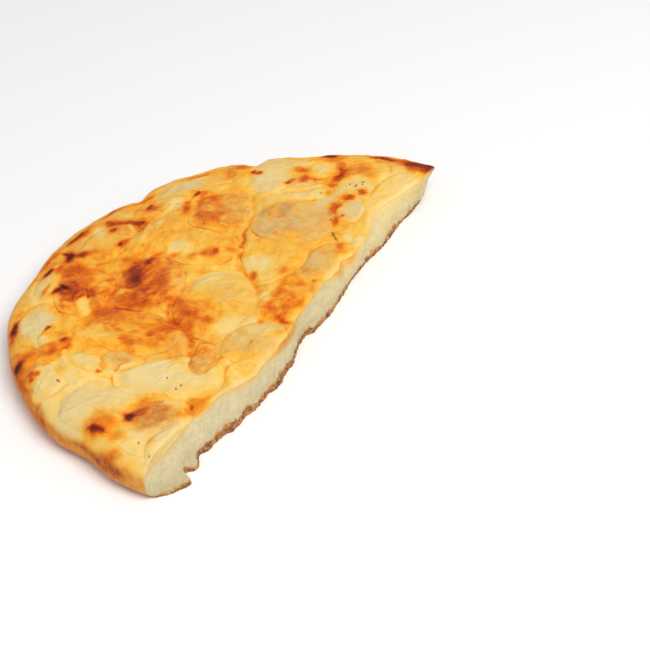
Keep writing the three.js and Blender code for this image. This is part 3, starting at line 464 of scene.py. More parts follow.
def line_distance(x, y, points):
    """Distance to a chain of straight stretches: the least distance to any of them."""
    nearest = np.full(np.shape(x), np.inf)
    for (ax, ay), (bx, by) in zip(points[:-1], points[1:]):
        dx, dy = bx - ax, by - ay
        share = np.clip(((x - ax) * dx + (y - ay) * dy) / (dx * dx + dy * dy), 0, 1)
        nearest = np.minimum(nearest, np.hypot(x - ax - share * dx, y - ay - share * dy))
    return nearest


# ---- Plan and heights of the bread ----
def sum_of_swells(swells, place):
    """Sum of humps, each given by its place, reach and size."""
    return sum(size * hump(place, at, reach) for at, reach, size in swells)


def rim_radius(angle):
    """Radius of the round side at an angle in radians: the loaf's radius plus its swells."""
    return LOAF_RADIUS + sum_of_swells(RIM_SWELLS, np.degrees(angle))


def inside_rim(x, y):
    """Distance of a point inside the widest outline of the round side."""
    return rim_radius(np.arctan2(np.maximum(y, 0), x)) - np.hypot(x, y)


def cut_line(x, height):
    """Y of the cut at a place along it, blended from its lower edge to its upper edge."""
    low = CUT_BOTTOM_BASE + sum_of_swells(CUT_BOTTOM_WANDER, x)
    high = CUT_TOP_BASE + sum_of_swells(CUT_TOP_WANDER, x)
    return pull(low, high, np.clip(height / DOUGH_HEIGHT, 0, 1))


def side_inset(height):
    """Inset of the round side: its foot curves in by a power of 2.2 and its shoulder rolls in by
    a power of 3."""
    foot = FOOT_INSET * np.clip(1 - height / ROLL_START, 0, 1) ** 2.2
    shoulder = RIM_INSET * np.clip((height - ROLL_START) / (SIDE_HEIGHT - ROLL_START), 0, None) ** 3
    return foot + shoulder


def slice_reach(index, x, y):
    """How far a point lies from a slice's middle as a share of the way to its edge: the radius of
    a squarish oval, with a three-lobed and finer wobbles of the edge, joined to the straight
    sides by a power mean."""
    cx, cy, long, wide, turn, square = SLICES[index]
    u, v = turned_place(x, y, cx, cy, turn)
    oval = (np.abs(u / long) ** square + np.abs(v / wide) ** square) ** (1 / square)
    around = np.arctan2(y - cy, x - cx)
    share, toward = LOBES.get(index + 1, (0.03, 97 * index))
    wobble = 0.022 * np.cos(5 * around + 2.9 * index) - share * np.cos(3 * (around - math.radians(toward)))
    wobble = wobble + 0.012 * np.cos(9 * around + 4.1 * index)
    reach = oval * (1 + wobble)
    for facing, distance in STRAIGHT.get(index + 1, []):
        side = np.clip(turned_place(x, y, cx, cy, facing)[0] / distance, 0, None) * (1 + 0.6 * wobble)
        reach = (reach**14 + side**14) ** (1 / 14)
    return reach


def dough_top(x, y):
    """Top of the dough: gentle waves, lumps and wrinkles, rolled down towards the rim by the
    square of the way into the rim band, and pressed down under each slice."""
    roll = np.clip(1 - inside_rim(x, y) / RIM_ROLL, 0, 1.3)
    waves = 0.5 * np.sin(x / 17 + 0.6) * np.cos(y / 14) + 0.35 * np.sin((x - y) / 9)
    rough = 0.55 * layered_noise(x, y, 11, 3) + 0.22 * layered_noise(x, y, 3.4, 5)
    rough = rough + 0.4 * ridges(x, y, 8, 7)
    under = sum(1 - fade(0.8, 1.15, slice_reach(k, x, y)) for k in range(len(SLICES)))
    pressed = SINK_SHARE * SLICE_THICKNESS * under
    return DOUGH_HEIGHT + waves + rough - RIM_DROP * roll**2 - pressed


def cut_top(x):
    """Height of the cut's rounded upper edge."""
    return dough_top(x, cut_line(x, DOUGH_HEIGHT)) - EDGE_ROUNDING


# ---- Painted fields over the plan ----
GRID_X, GRID_Y = np.meshgrid(np.arange(-152, 153, STEP), np.arange(-20, 152, STEP), indexing="ij")


def sample(field, x, y):
    """Value of a painted field at points, blended between the four nearest grid points."""
    u = np.clip((x - GRID_X[0, 0]) / STEP, 0, GRID_X.shape[0] - 1.001)
    v = np.clip((y - GRID_Y[0, 0]) / STEP, 0, GRID_X.shape[1] - 1.001)
    i, j = u.astype(int), v.astype(int)
    corners = [[field[i + di, j + dj] for dj in (0, 1)] for di in (0, 1)]
    return blend_corners(corners, u - i, v - j)


def soften(field, times):
    """Average of each point and its neighbours, repeated."""
    for _ in range(times):
        padded = np.pad(field, 1, mode="edge")
        across = (padded[:-2, 1:-1] + 2 * field + padded[2:, 1:-1]) / 4
        padded = np.pad(across, 1, mode="edge")
        field = (padded[1:-1, :-2] + 2 * across + padded[1:-1, 2:]) / 4
    return field


def grain_place(x, y, covered=0):
    """Place of each point along and across the fibres, in mm. They run another way on each slice;
    0 is the dough."""
    way = np.radians((np.asarray(covered) * 47) % 180)
    return {"along": x * np.cos(way) + y * np.sin(way), "across": y * np.cos(way) - x * np.sin(way)}


def slice_thickness(index, x, y):
    """Thickness of a slice: full in the middle, thinning over the outer part to an edge that is
    thick in some places and almost nothing in others, with ripples, and wrinkles that run one way
    on each slice."""
    melted = index + 1 in MELTED
    edge = np.clip(0.33 - 0.25 * melted + 0.40 * layered_noise(x, y, 13, 30 + index, 2), 0.05, 0.72)
    full = 1 - fade(0.7, 1.0, slice_reach(index, x, y))
    along, across = grain_place(x, y, index + 1).values()
    wrinkled = fade(-0.1, 0.5, layered_noise(x, y, 16, 500 + index, 2))
    wrinkles = 0.45 * ridges(along / 2.2, across, 9, 400 + index) * wrinkled
    ripple = 0.30 * layered_noise(x, y, 7, 200 + index) + 0.10 * layered_noise(x, y, 2.2, 300 + index, 2)
    return SLICE_THICKNESS * (edge + (1 - edge) * full) + (wrinkles + ripple) * (0.25 + 0.75 * full)


def pressed_lines():
    """Depth of the creases and height of the folds along the drawn lines, and the rounding of the
    cut's upper edge."""
    from_cut = np.clip(GRID_Y - cut_line(GRID_X, DOUGH_HEIGHT) - 0.5, 0, None)
    depth = EDGE_ROUNDING * hump(from_cut, 0, 1.3)
    for points, half_width, _, deep in LINES:
        depth = depth + deep * hump(line_distance(GRID_X, GRID_Y, points), 0, half_width + 0.5)
    return depth


def outline_browning_and_light(index, outside):
    """Tone at a slice's edge, from the distance outside it: darker in stretches just outside, partly
    browning and partly painted shadow under the edge; paler just inside, a painted highlight along
    the thin edge; faint on a slice that has melted into the dough."""
    dark = np.clip(0.25 + 1.1 * layered_noise(GRID_X, GRID_Y, 11, 240 + index, 2), 0, 1)
    pale = np.clip(0.45 + 0.9 * layered_noise(GRID_X, GRID_Y, 9, 340 + index, 2), 0, 1)
    if index + 1 in MELTED:
        dark, pale = 0.35 * dark, 0.3 * pale
    # Painted highlight just inside the edge; browning with painted shadow just outside it.
    inner, outer = -0.08 * pale * hump(outside, -0.9, 0.8), 0.20 * dark * hump(outside, 0.1, 0.7)
    return np.where(outside < 0, inner, outer)


def lay_slices():
    """Underside height of every slice, the final level, the slice on top at each point, and the
    tone at the outlines: browning with painted shadow just outside each edge, and a painted
    highlight just inside it. Each slice rests on a softened copy of what is below it and sinks into
    it along its edge, more in some places than in others. A later slice covers the outlines of
    those below it."""
    x, y = GRID_X, GRID_Y
    level = dough_top(x, y)
    near_rim = fade(6.5, 3.0, inside_rim(x, y))
    undersides, covered, outline = [], np.zeros_like(x), np.zeros_like(x)
    for index, (_, _, long, wide, *_) in enumerate(SLICES):
        reach = slice_reach(index, x, y)
        sink = 0.42 + 0.45 * layered_noise(x, y, 15, 40 + index, 2)
        rest = np.maximum(level, soften(level, 16)) - fade(0.7, 1.0, reach) * sink
        rest = rest + 0.25 * layered_noise(x, y, 12, 140 + index, 2) - 1.1 * near_rim
        undersides.append(rest)
        rest = rest - 0.22 * (index + 1 in MELTED) * fade(0.6, 1.0, reach)
        on = reach < 1
        level = np.where(on, np.maximum(level, rest + slice_thickness(index, x, y)), level)
        covered = np.where(on, index + 1, covered)
        outside = (reach - 1) * 0.5 * (long + wide)
        # Browning, painted shadow and painted highlight along this slice's edge.
        outline = np.where(on, 0.0, outline) + outline_browning_and_light(index, outside)
    return undersides, level, covered, outline


CREASES = pressed_lines()
UNDERSIDES, LEVEL, COVERED, OUTLINE_BROWNING_AND_LIGHT = lay_slices()


# ---- Browning ----
def wander(seed):
    """Push of the painted shapes to one side, in mm: a broad and a fine noise."""
    return 1.9 * layered_noise(GRID_X, GRID_Y, 12, seed) + layered_noise(GRID_X, GRID_Y, 3.6, seed + 1, 2)


def paint_washes(x, y):
    """Browning and dryness from the washes: each pulls both towards its own values inside a
    ragged oval."""
    ragged = 0.3 * layered_noise(GRID_X, GRID_Y, 4.5, 67)
    bake = 0.35 + 0.06 * layered_noise(x, y, 16, 65)
    dry = 0.15 + 0.15 * layered_noise(x, y, 20, 66)
    for *oval, level, dryness, share, only in WASHES:
        weight = share * (1 - fade(0.55, 1.4, oval_distance(x, y, *oval) + ragged))
        if only:
            weight = weight * (COVERED == only)
        bake, dry = pull(bake, level, weight), pull(dry, dryness, weight)
    return bake, dry


def paint_texture(x, y, bake, dry, patches):
    """A tone of its own for each slice, the outlines with their browning, painted shadow and painted
    highlight, fibres that run another way on each slice, patches and streaks that are stronger where
    it is browner, and paler slices near both ends."""
    tone = (COVERED * 0.618) % 1
    # The outlines: browning with painted shadow outside the slices' edges, painted highlight inside them.
    bake = bake + 0.04 * (tone - 0.5) + OUTLINE_BROWNING_AND_LIGHT
    dry = dry * (1 - np.clip(4 * OUTLINE_BROWNING_AND_LIGHT, 0, 0.8))
    along, across = grain_place(x, y, COVERED).values()
    fibres = layered_noise(along / 3.4, across, 3.2, 74)
    ends = fade(-75, -95, GRID_X) + 0.8 * fade(65, 85, GRID_X)
    bake = bake - 0.08 * ends * fade(0.16, 0.24, bake) * (1 - fade(0.33, 0.42, bake))
    brown = fade(0.2, 0.55, bake) * np.where(np.isin(COVERED, CALM), 0.4, 1.0)
    streaks = ridges(along / 3, across, 4, 77) - ridges(along / 3, across, 4, 79)
    bake = bake + (0.045 + 0.08 * brown) * patches + (0.035 + 0.03 * brown) * fibres
    bake = bake + 0.035 * layered_noise(x, y, 1.7, 73, 2) + (0.03 + 0.03 * brown) * streaks
    bake = bake + 0.09 * layered_noise(x, y, 4, 76) * (COVERED == 0)
    bake = bake + 0.07 * ridges(x, y, 7, 7) * fade(0.2, 0.4, bake)
    dry = dry + 0.22 * layered_noise(x, y, 7, 75) - 0.12 * fibres
    return bake, dry


def paint_lines(x, y, bake, dry, patches):
    """Tone along the drawn lines, fainter between the patches; along the deepest creases it is partly
    painted shade.
    """
    for points, half_width, level, _ in LINES:
        weight = hump(line_distance(x, y, points), 0, half_width) * np.clip(0.7 + 0.8 * patches, 0, 1)
        bake, dry = pull(bake, level, weight), dry * (1 - 0.7 * weight)
    return bake, dry


def paint_freckles(x, y, bake):
    """Browner and paler freckles, where it is already gold or orange."""
    speckle = 0.6 * value_noise(x, y, 2.7, 91) + 0.4 * value_noise(x, y, 1.3, 92)
    bake = bake + 0.06 * fade(0.58, 0.74, speckle) * fade(0.42, 0.54, bake)
    return bake - 0.09 * fade(0.60, 0.76, value_noise(x, y, 3.1, 93)) * fade(0.3, 0.45, bake)


def paint_spots(x, y, bake, dry):
    """The browned spots, after a wide faint halo round each, and then the pale patches."""
    ragged = 0.38 * layered_noise(GRID_X, GRID_Y, 3.4, 94)
    for scale, strength, drop in ((1.9, 0.6, 0.22), (1.0, 0.95, 0.0)):
        for cx, cy, long, wide, turn, level, soft in SPOTS:
            away = oval_distance(x, y, cx, cy, scale * long + 0.3, scale * wide + 0.3, turn) + ragged
            weight = strength * (1 - fade(0.7 - 0.65 * soft, 1.2 + 0.5 * soft, away))
            bake, dry = pull(bake, np.maximum(level - drop, bake), weight), dry * (1 - 0.5 * weight)
    for *oval, level, soft in PALE_SPOTS:
        weight = 0.85 * (1 - fade(1 - 0.8 * soft, 1 + 0.5 * soft, oval_distance(x, y, *oval) + ragged))
        bake = pull(bake, np.minimum(level, bake), weight)
    return bake, dry


def paint_cut_edge(x, y, bake, dry):
    """Pale and drier band along the cut's upper edge, wider near the left corner and faint where
    the edge is orange."""
    from_cut = GRID_Y - cut_line(GRID_X, DOUGH_HEIGHT)
    orange = np.max([hump(GRID_X, at, reach, 4) for at, reach in ORANGE_EDGES], axis=0)
    reach = 1.8 + 1.6 * value_noise(x, y, 6, 95) + 4.5 * hump(GRID_X, -119, 12)
    band = hump(from_cut, 0, reach) * (1 - 0.85 * orange)
    left = fade(40, 0, GRID_X)
    bake = pull(bake, 0.12 + 0.04 * left, 0.75 * band * fade(128, 118, np.abs(GRID_X)))
    return bake, pull(dry, 0.25 + 0.55 * left, 0.8 * band)


def paint_top():
    """Browning and dryness over the plan, from the broad washes to the small spots."""
    push_x, push_y = wander(61), wander(63)
    x, y = GRID_X + push_x, GRID_Y + push_y
    near_x, near_y = GRID_X + 0.5 * push_x, GRID_Y + 0.5 * push_y
    patches = layered_noise(x, y, 8, 71)
    bake, dry = paint_washes(x, y)
    bake, dry = paint_texture(x, y, bake, dry, patches)
    bake, dry = paint_lines(near_x, near_y, bake, dry, patches)
    bake = paint_freckles(x, y, bake)
    bake, dry = paint_spots(near_x, near_y, bake, dry)
    bake, dry = paint_cut_edge(x, y, bake, dry)
    return np.clip(bake, 0, 1), np.clip(dry, 0, 1)


BAKE, DRY = paint_top()


# ---- Mesh making ----
def make_piece(name, points, faces, attributes, material):
    """Mesh object from points in layout millimetres, with one float attribute per entry."""
    shift = np.array([*PLAN_CENTRE, 0.0])
    mesh = bpy.data.meshes.new(name)
    mesh.from_pydata(((points - shift) * MM).tolist(), [], faces)
    for key, values in attributes.items():
        layer = mesh.attributes.new(key, "FLOAT", "POINT")
        layer.data.foreach_set("value", np.asarray(values, dtype=np.float32))
    mesh.materials.append(material)
    mesh.polygons.foreach_set("use_smooth", [True] * len(mesh.polygons))
    mesh.update()
    piece = bpy.data.objects.new(name, mesh)
    bpy.context.collection.objects.link(piece)
    return piece


def quads(grid):
    """Faces between neighbouring rows and columns of a grid of vertex numbers."""
    corners = [grid[:-1, :-1], grid[:-1, 1:], grid[1:, 1:], grid[1:, :-1]]
    return np.stack([corner.ravel() for corner in corners], axis=1)


def closed_rows(first, rows, columns):
    """Grid of vertex numbers whose rows close: each ends with its own first number."""
    ids = first + np.arange(rows * columns).reshape(rows, columns)
    return np.concatenate([ids, ids[:, :1]], axis=1)


def tidy_faces(faces):
    """Face lists with repeated corners dropped, so that quads at a pole become triangles."""
    kept = []
    for face in faces.tolist():
        corners = [v for k, v in enumerate(face) if v != face[k - 1]]
        if len(corners) > 2:
            kept.append(corners)
    return kept


# ---- Bread ----
def crumb_relief(x, z):
    """How far the torn crumb stands proud of the cut, in mm: soft hollows, two sizes of round
    pores, and grain."""
    hollows = 0.6 * layered_noise(x, z * 1.3, 9, 81) + 0.32 * layered_noise(x, z * 0.6, 3.0, 82)
    pores = 0.26 * pits(x, z * 1.2, 3.9, 1.5, 83) + 0.14 * pits(x + 40, z, 1.9, 0.8, 84)
    return hollows - pores + 0.07 * layered_noise(x, z, 1.1, 85, 2)


def crust_height(x):
    """Height of the browned base crust seen on the cut: low near the left corner, ragged."""
    far = fade(-116, -104, x)
    ragged = 0.8 * layered_noise(x, 0 * x, 7, 87, 2) + 0.8 * layered_noise(x, 0 * x, 2.1, 88, 2)
    height = 1.5 + 2.3 * far - 1.3 * fade(-20, 30, x)
    return height + (0.6 + 0.8 * far) * ragged + 1.8 * hump(x, -118.5, 3)


def crust_share(x, z):
    """Height on the cut as a share of the base crust's height there."""
    return z / np.maximum(crust_height(x), 0.4)


def crust_lip(x, z):
    """How far the lower edge stands out past the even cut, in mm: the measured ragged edge,
    fading upwards, and grains of crust."""
    place, edge = np.array(LOWER_EDGE).T
    torn = (cut_line(x, 0.8) - np.interp(x, place, edge)) * (1 - fade(1.2, 5.0, z))
    grains = 0.35 * layered_noise(x, z * 1.5, 2.4, 91) + 0.55 * layered_noise(x, z, 1.3, 92, 2)
    return torn + grains * (1 - fade(0.7, 1.4, crust_share(x, z)))


def wall_height(part, top):
    """Height of the wall's rim side at a share of the way up: that share of the side's height,
    pulled to the top by the share's cube."""
    return pull(part * SIDE_HEIGHT, top, part**3)


def cut_row(part, crumb_depth):
    """One row of the wall along the cut, from its left end to its right one: level with the rim
    side at both ends, torn by the crumb above the base crust and ragged at the lower edge."""
    back = side_inset(part * SIDE_HEIGHT)
    low_end, high_end = rim_radius(np.pi) - back, rim_radius(0.0) - back
    x = (low_end + high_end) * np.linspace(0, 1, BREAD_COLUMNS + 1) - low_end
    end = np.minimum(x - x[0], x[-1] - x)
    top = cut_top(x)
    z = pull(wall_height(part, top), part * top, fade(0, 6, end))
    open_crumb = fade(0.5, 1.2, crust_share(x, z)) * fade(0, 1.6, top - z)
    relief = crumb_depth / MM * crumb_relief(x, z) * open_crumb + crust_lip(x, z)
    worn = 0.5 * fade(0.86, 1.0, part) ** 2
    return np.stack([x, cut_line(x, z) + worn - relief * fade(0, 5, end), z], axis=1)


def arc_row(part, left_y, right_y):
    """One row of the wall back round the arc, from the right end to the left one: the rim's
    radius less its inset, wrinkled, and drawn to the ends of the cut by a cosine's sixth power."""
    angle = np.pi * np.linspace(0, 1, BREAD_COLUMNS + 1)[1:-1]
    around, climb = angle * LOAF_RADIUS, part * 14 + 0 * angle
    wrinkle = 0.5 * layered_noise(around, climb, 8, 95) + 0.22 * layered_noise(around, climb, 2.2, 96)
    wrinkle = wrinkle * math.sin(math.pi * min(part, 0.75))
    radius = rim_radius(angle) - side_inset(part * SIDE_HEIGHT)
    radius = radius + wrinkle * fade(0, 0.03, np.minimum(angle, np.pi - angle))
    end_y = np.where(angle < np.pi / 2, right_y, left_y)
    x, y = radius * np.cos(angle), radius * np.sin(angle) + end_y * np.cos(angle) ** 6
    return np.stack([x, y, wall_height(part, dough_top(x, y))], axis=1)


def bread_rings(crumb_depth):
    """Rows of closed rings up the wall: each ring runs along the cut and back round the arc."""
    rings = []
    for part in np.linspace(0, 1, BREAD_WALL_ROWS + 1) ** 1.15:
        cut = cut_row(part, crumb_depth)
        rings.append(np.concatenate([cut, arc_row(part, cut[0, 1], cut[-1, 1])]))
    return np.stack(rings)


def cap_grid(ring, rows, even):
    """Points that fill a ring: each joins a point of the cut to the point of the arc above it. The
    rows are even, or closer together near both edges by half a cosine."""
    n = BREAD_COLUMNS
    arc = np.concatenate([ring[:1], ring[n + 1:][::-1], ring[n:n + 1]])
    share = np.linspace(0, 1, rows + 1)[1:-1, None, None]
    share = share if even else 0.5 - 0.5 * np.cos(np.pi * share)
    return ring[None, : n + 1] * (1 - share) + arc[None] * share


def build_bread(dough, crumb_depth, browning):
    """Bread as one closed skin: base, wall of rings and top, joined along shared edges."""
    n = BREAD_COLUMNS
    rings = bread_rings(crumb_depth)
    rows, size = rings.shape[:2]
    wall_loop = closed_rows(0, rows, size)
    faces = [quads(wall_loop)]
    points = [rings.reshape(-1, 3)]
    zones = [np.tile(np.r_[np.ones(n + 1), np.zeros(size - n - 1)], rows)]
    count = rows * size
    for ring_row, cap_rows, top in ((0, BREAD_BASE_ROWS, False), (rows - 1, BREAD_TOP_ROWS, True)):
        cap = cap_grid(rings[ring_row], cap_rows, top)
        if top:
            x, y = cap[..., 0], cap[..., 1]
            cap[..., 2] = dough_top(x, y) - sample(CREASES, x, y)
        inner = count + np.arange(cap[:, 1:-1, 0].size).reshape(cap_rows - 1, n - 1)
        cut_edge, arc_edge = wall_loop[ring_row, : n + 1], wall_loop[ring_row, n:][::-1]
        sides = [np.full((cap_rows - 1, 1), cut_edge[end]) for end in (0, -1)]
        grid = np.concatenate([cut_edge[None], np.hstack([sides[0], inner, sides[1]]), arc_edge[None]])
        faces.append(quads(grid) if top else quads(grid)[:, ::-1])
        points.append(cap[:, 1:-1].reshape(-1, 3))
        zones.append(np.zeros(inner.size))
        count += inner.size
    points = np.concatenate(points)
    looks = bread_looks(points, np.concatenate(zones), browning)
    return make_piece("bread_body", points, tidy_faces(np.concatenate(faces)), looks, dough)


def side_looks(x, y, z):
    """Browning and dryness of the round side: golden, streaked, darker at its foot, pulled
    towards each side patch inside an oval."""
    angle = np.arctan2(y, x)
    around = angle * LOAF_RADIUS
    streaks = layered_noise(around, z * 2.4, 14, 101) + 0.7 * layered_noise(around, z * 1.3, 4, 102)
    bake, dry = 0.52 + 0 * x, 0.6 + 0 * x
    for at, height, along, up, level, dryness, share in SIDE_PATCHES:
        away = np.hypot((angle - math.radians(at)) * LOAF_RADIUS / along, (z - height) / up)
        weight = share * (1 - fade(0.4, 1.5, away + 0.25 * streaks))
        bake, dry = pull(bake, level, weight), pull(dry, dryness, weight)
    mottle = layered_noise(around, z * 1.2, 6, 108) + 0.6 * layered_noise(around, z * 1.2, 2.2, 109, 2)
    bake = bake + 0.10 * streaks + 0.07 * mottle + 0.24 * (1 - fade(0.3, 2.8, z + 0.8 * streaks))
    return bake, dry


def cut_looks(x, z):
    """Browning, dryness, open crumb and shade of the cut: thin brown base crust, cream crumb
    above it, a baked tint that reaches down from the top, and a shade that darkens the cut, partly
    painted shade."""
    above = (z - crust_height(x)) / 1.5
    below = cut_top(x) - z
    left = fade(50, 0, x)
    grain = layered_noise(x, z * 1.6, 1.7, 106, 2)
    soft = layered_noise(x, z, 4, 107)
    crust = 0.67 + 0.32 * grain - 0.1 * fade(-118, -130, x)
    bake = pull(0.30, crust, 1 - fade(-0.45, 0.25, above + 0.6 * grain))
    depth, tint = TOP_TINT_DEPTH, TOP_TINT_BAKE
    for at, reach, deep, level in TOP_TINT:
        depth = depth + (deep - TOP_TINT_DEPTH) * hump(x, at, reach)
        tint = tint + (level - TOP_TINT_BAKE) * hump(x, at, reach)
    at_top = 1 - fade(0.2 * depth, 1.5 * depth + 0.8, below + 0.8 * soft + 0.4 * grain)
    bake = pull(bake, tint + 0.08 * soft, at_top)
    crumb = (0.14 + 0.86 * fade(-0.2, 0.5, above + 0.6 * grain)) * (1 - 0.9 * at_top)
    yellow = 0.25 + 0.5 * fade(20, 90, x) + 0.4 * (1 - fade(0, 6, below)) + 0.3 * soft
    yellow = np.clip(yellow, 0.05, 1) * fade(0.6, 1.6, above) * (1 - 0.45 * left)
    # Painted shade at the left end, where the cut turns from the light, and along the rounded top edge of
    # the left half, which faces up to the light; also darker on the left half, towards the bottom and at
    # the right end.
    darker = 0.09 * left + 0.04 * fade(-102, -120, x) + 0.10 * (1 - fade(3, 9, z))
    darker = darker + 0.12 * fade(103, 118, x) + (0.06 * left + 0.07 * fade(-104, -122, x)) * at_top
    return bake, np.maximum(1 - yellow, 0.6 * at_top), crumb, 1 - darker


def bread_looks(points, on_cut, browning):
    """Browning, dryness, open crumb and shade of the bread: painted top, the round side's looks
    below the shoulder, brown base, and the cut's looks where the point is on the cut."""
    x, y, z = points.T
    side, side_dry = side_looks(x, y, z)
    is_side = (1 - fade(9.5, 14, z + 1.2 * layered_noise(x, y, 9, 103))) * (inside_rim(x, y) < 9)
    is_base = 1 - fade(0.02, 0.5, z)
    base = 0.62 + 0.13 * layered_noise(x, y, 30, 104, 2)
    bake = pull(pull(sample(BAKE, x, y), side, is_side), base, is_base)
    dry = pull(pull(sample(DRY, x, y), side_dry, is_side), 0.85, is_base)
    cut_bake, cut_dry, crumb, shade = cut_looks(x, z)
    bake, dry = np.where(on_cut > 0, (cut_bake, cut_dry), (bake, dry))
    looks = {"bake": np.clip(bake + browning, 0, 1), "dry": np.clip(dry, 0, 1)}
    return looks | {"crumb": on_cut * crumb, "shade": np.where(on_cut > 0, shade, 1.0)} | grain_place(x, y)


# ---- Potato slices ----
def spoke_lengths(index, pole, angles):
    """Distance from the pole to the slice's outline along each spoke: the last of evenly spaced
    samples that is inside the slice, the cut and the rim."""
    cx, cy, long, wide = SLICES[index][:4]
    far = 1.35 * max(long, wide) + np.hypot(pole[0] - cx, pole[1] - cy)
    steps = np.linspace(0, far, SPOKE_SAMPLES)[:, None]
    x, y = pole[0] + steps * np.cos(angles), pole[1] + steps * np.sin(angles)
    in_slice = slice_reach(index, x, y) < 1
    above_cut = y > cut_line(x, DOUGH_HEIGHT) + 0.65 + 0.3 * layered_noise(x, 0 * x, 3, 97, 2)
    inside = np.logical_and.accumulate(in_slice & above_cut & (inside_rim(x, y) > 3.2), axis=0)
    last = np.maximum(inside.sum(axis=0) - 1, 1)
    return steps[last, 0]


def build_slice(index, potato, browning):
    """Potato slice: a polar grid over its outline for the top, a rounded edge, and a coarser
    underside; the top is the underside raised by the slice's thickness."""
    cx, cy, long, wide = SLICES[index][:4]
    pole = np.array([cx, max(cy, float(cut_line(cx, DOUGH_HEIGHT)) + 0.45 * wide)])
    size = 0.5 * (long + wide)
    spokes = int(np.clip(2 * np.pi * size / SLICE_GRAIN, 90, 260))
    rings = int(np.clip(size / SLICE_GRAIN, 14, 42))
    angles = np.linspace(0, 2 * np.pi, spokes, endpoint=False)
    lengths = spoke_lengths(index, pole, angles)
    lengths = (np.roll(lengths, 1) + 2 * lengths + np.roll(lengths, -1)) / 4
    rounding = 0.5 / lengths.mean()
    top_shares = np.linspace(0, 1, rings + 1)[1:] * (1 - 1.4 * rounding)
    edge_shares = [1 - 0.5 * rounding, 1.0, 1 - 0.3 * rounding]
    shares = np.concatenate([top_shares, edge_shares, np.linspace(0.93, 0.12, UNDERSIDE_RINGS)])
    lifts = np.concatenate([np.ones(rings), [0.84, 0.45, 0.05], np.zeros(UNDERSIDE_RINGS)])
    x = np.append(pole[0] + shares[:, None] * lengths * np.cos(angles), [pole[0]] * 2)
    y = np.append(pole[1] + shares[:, None] * lengths * np.sin(angles), [pole[1]] * 2)
    lift = np.append(np.repeat(lifts, spokes), [1.0, 0.0])
    z = sample(UNDERSIDES[index], x, y) + lift * slice_thickness(index, x, y) - sample(CREASES, x, y)
    loop = closed_rows(0, len(shares), spokes)
    faces = quads(loop)[:, ::-1].tolist()
    top_pole, low_pole = len(x) - 2, len(x) - 1
    faces += [[top_pole, a, b] for a, b in zip(loop[0, :-1].tolist(), loop[0, 1:].tolist())]
    faces += [[low_pole, b, a] for a, b in zip(loop[-1, :-1].tolist(), loop[-1, 1:].tolist())]
    looks = {"bake": np.clip(sample(BAKE, x, y) + browning, 0, 1), "dry": sample(DRY, x, y)}
    looks = looks | grain_place(x, y, index + 1)
    return make_piece(f"baked_slice_{index + 1:02d}", np.stack([x, y, z], axis=-1), faces, looks, potato)


# ---- Herbs ----
def build_herbs(herb, size):
    """Herb flecks as one mesh: each a thin curled leaf, an oval grid bent up along its length,
    that lies on the top or on the rolled rim."""
    points, faces, count = [], [], 0
    u, v = np.meshgrid(np.linspace(-1, 1, 13), np.linspace(-1, 1, 5), indexing="ij")
    for number, (x, y, length, width, turn) in enumerate(HERBS):
        length, width = size * length, size * width
        ragged = 1 + 0.35 * np.cos(5 * u + number) * np.abs(v)
        along = u * length / 2 + 0.12 * width * np.cos(4 * v + number)
        across = v * width * 0.5 * np.sqrt(np.clip(1.05 - u**2, 0, 1)) * ragged
        across = across + 0.1 * length * np.sin(1.8 * u + number)
        c, s = math.cos(math.radians(turn)), math.sin(math.radians(turn))
        px, py = x + along * c - across * s, y + along * s + across * c
        depth_in = np.clip(inside_rim(px, py) / RIM_INSET, 0, 1)
        rolled = np.where(depth_in == 1, np.inf, pull(ROLL_START, SIDE_HEIGHT, depth_in ** (1 / 3)))
        height = np.minimum(sample(LEVEL - CREASES, px, py), rolled)
        height = height + 0.12 + 0.05 * length * u**2 * (0.5 + 0.5 * np.cos(number))
        points += [np.stack([px, py, height + rise], axis=-1).reshape(-1, 3) for rise in (0.1, -0.25)]
        ids = np.arange(u.size).reshape(u.shape)
        border = np.concatenate([ids[:-1, 0], ids[-1, :-1], ids[:0:-1, -1], ids[0, :0:-1]])
        after = np.roll(border, -1)
        edge = np.stack([border, border + u.size, after + u.size, after], axis=1)
        faces.append(np.concatenate([quads(ids), quads(ids)[:, ::-1] + u.size, edge]) + count)
        count += 2 * u.size
    return make_piece("herb_flecks", np.concatenate(points), np.concatenate(faces).tolist(), {}, herb)


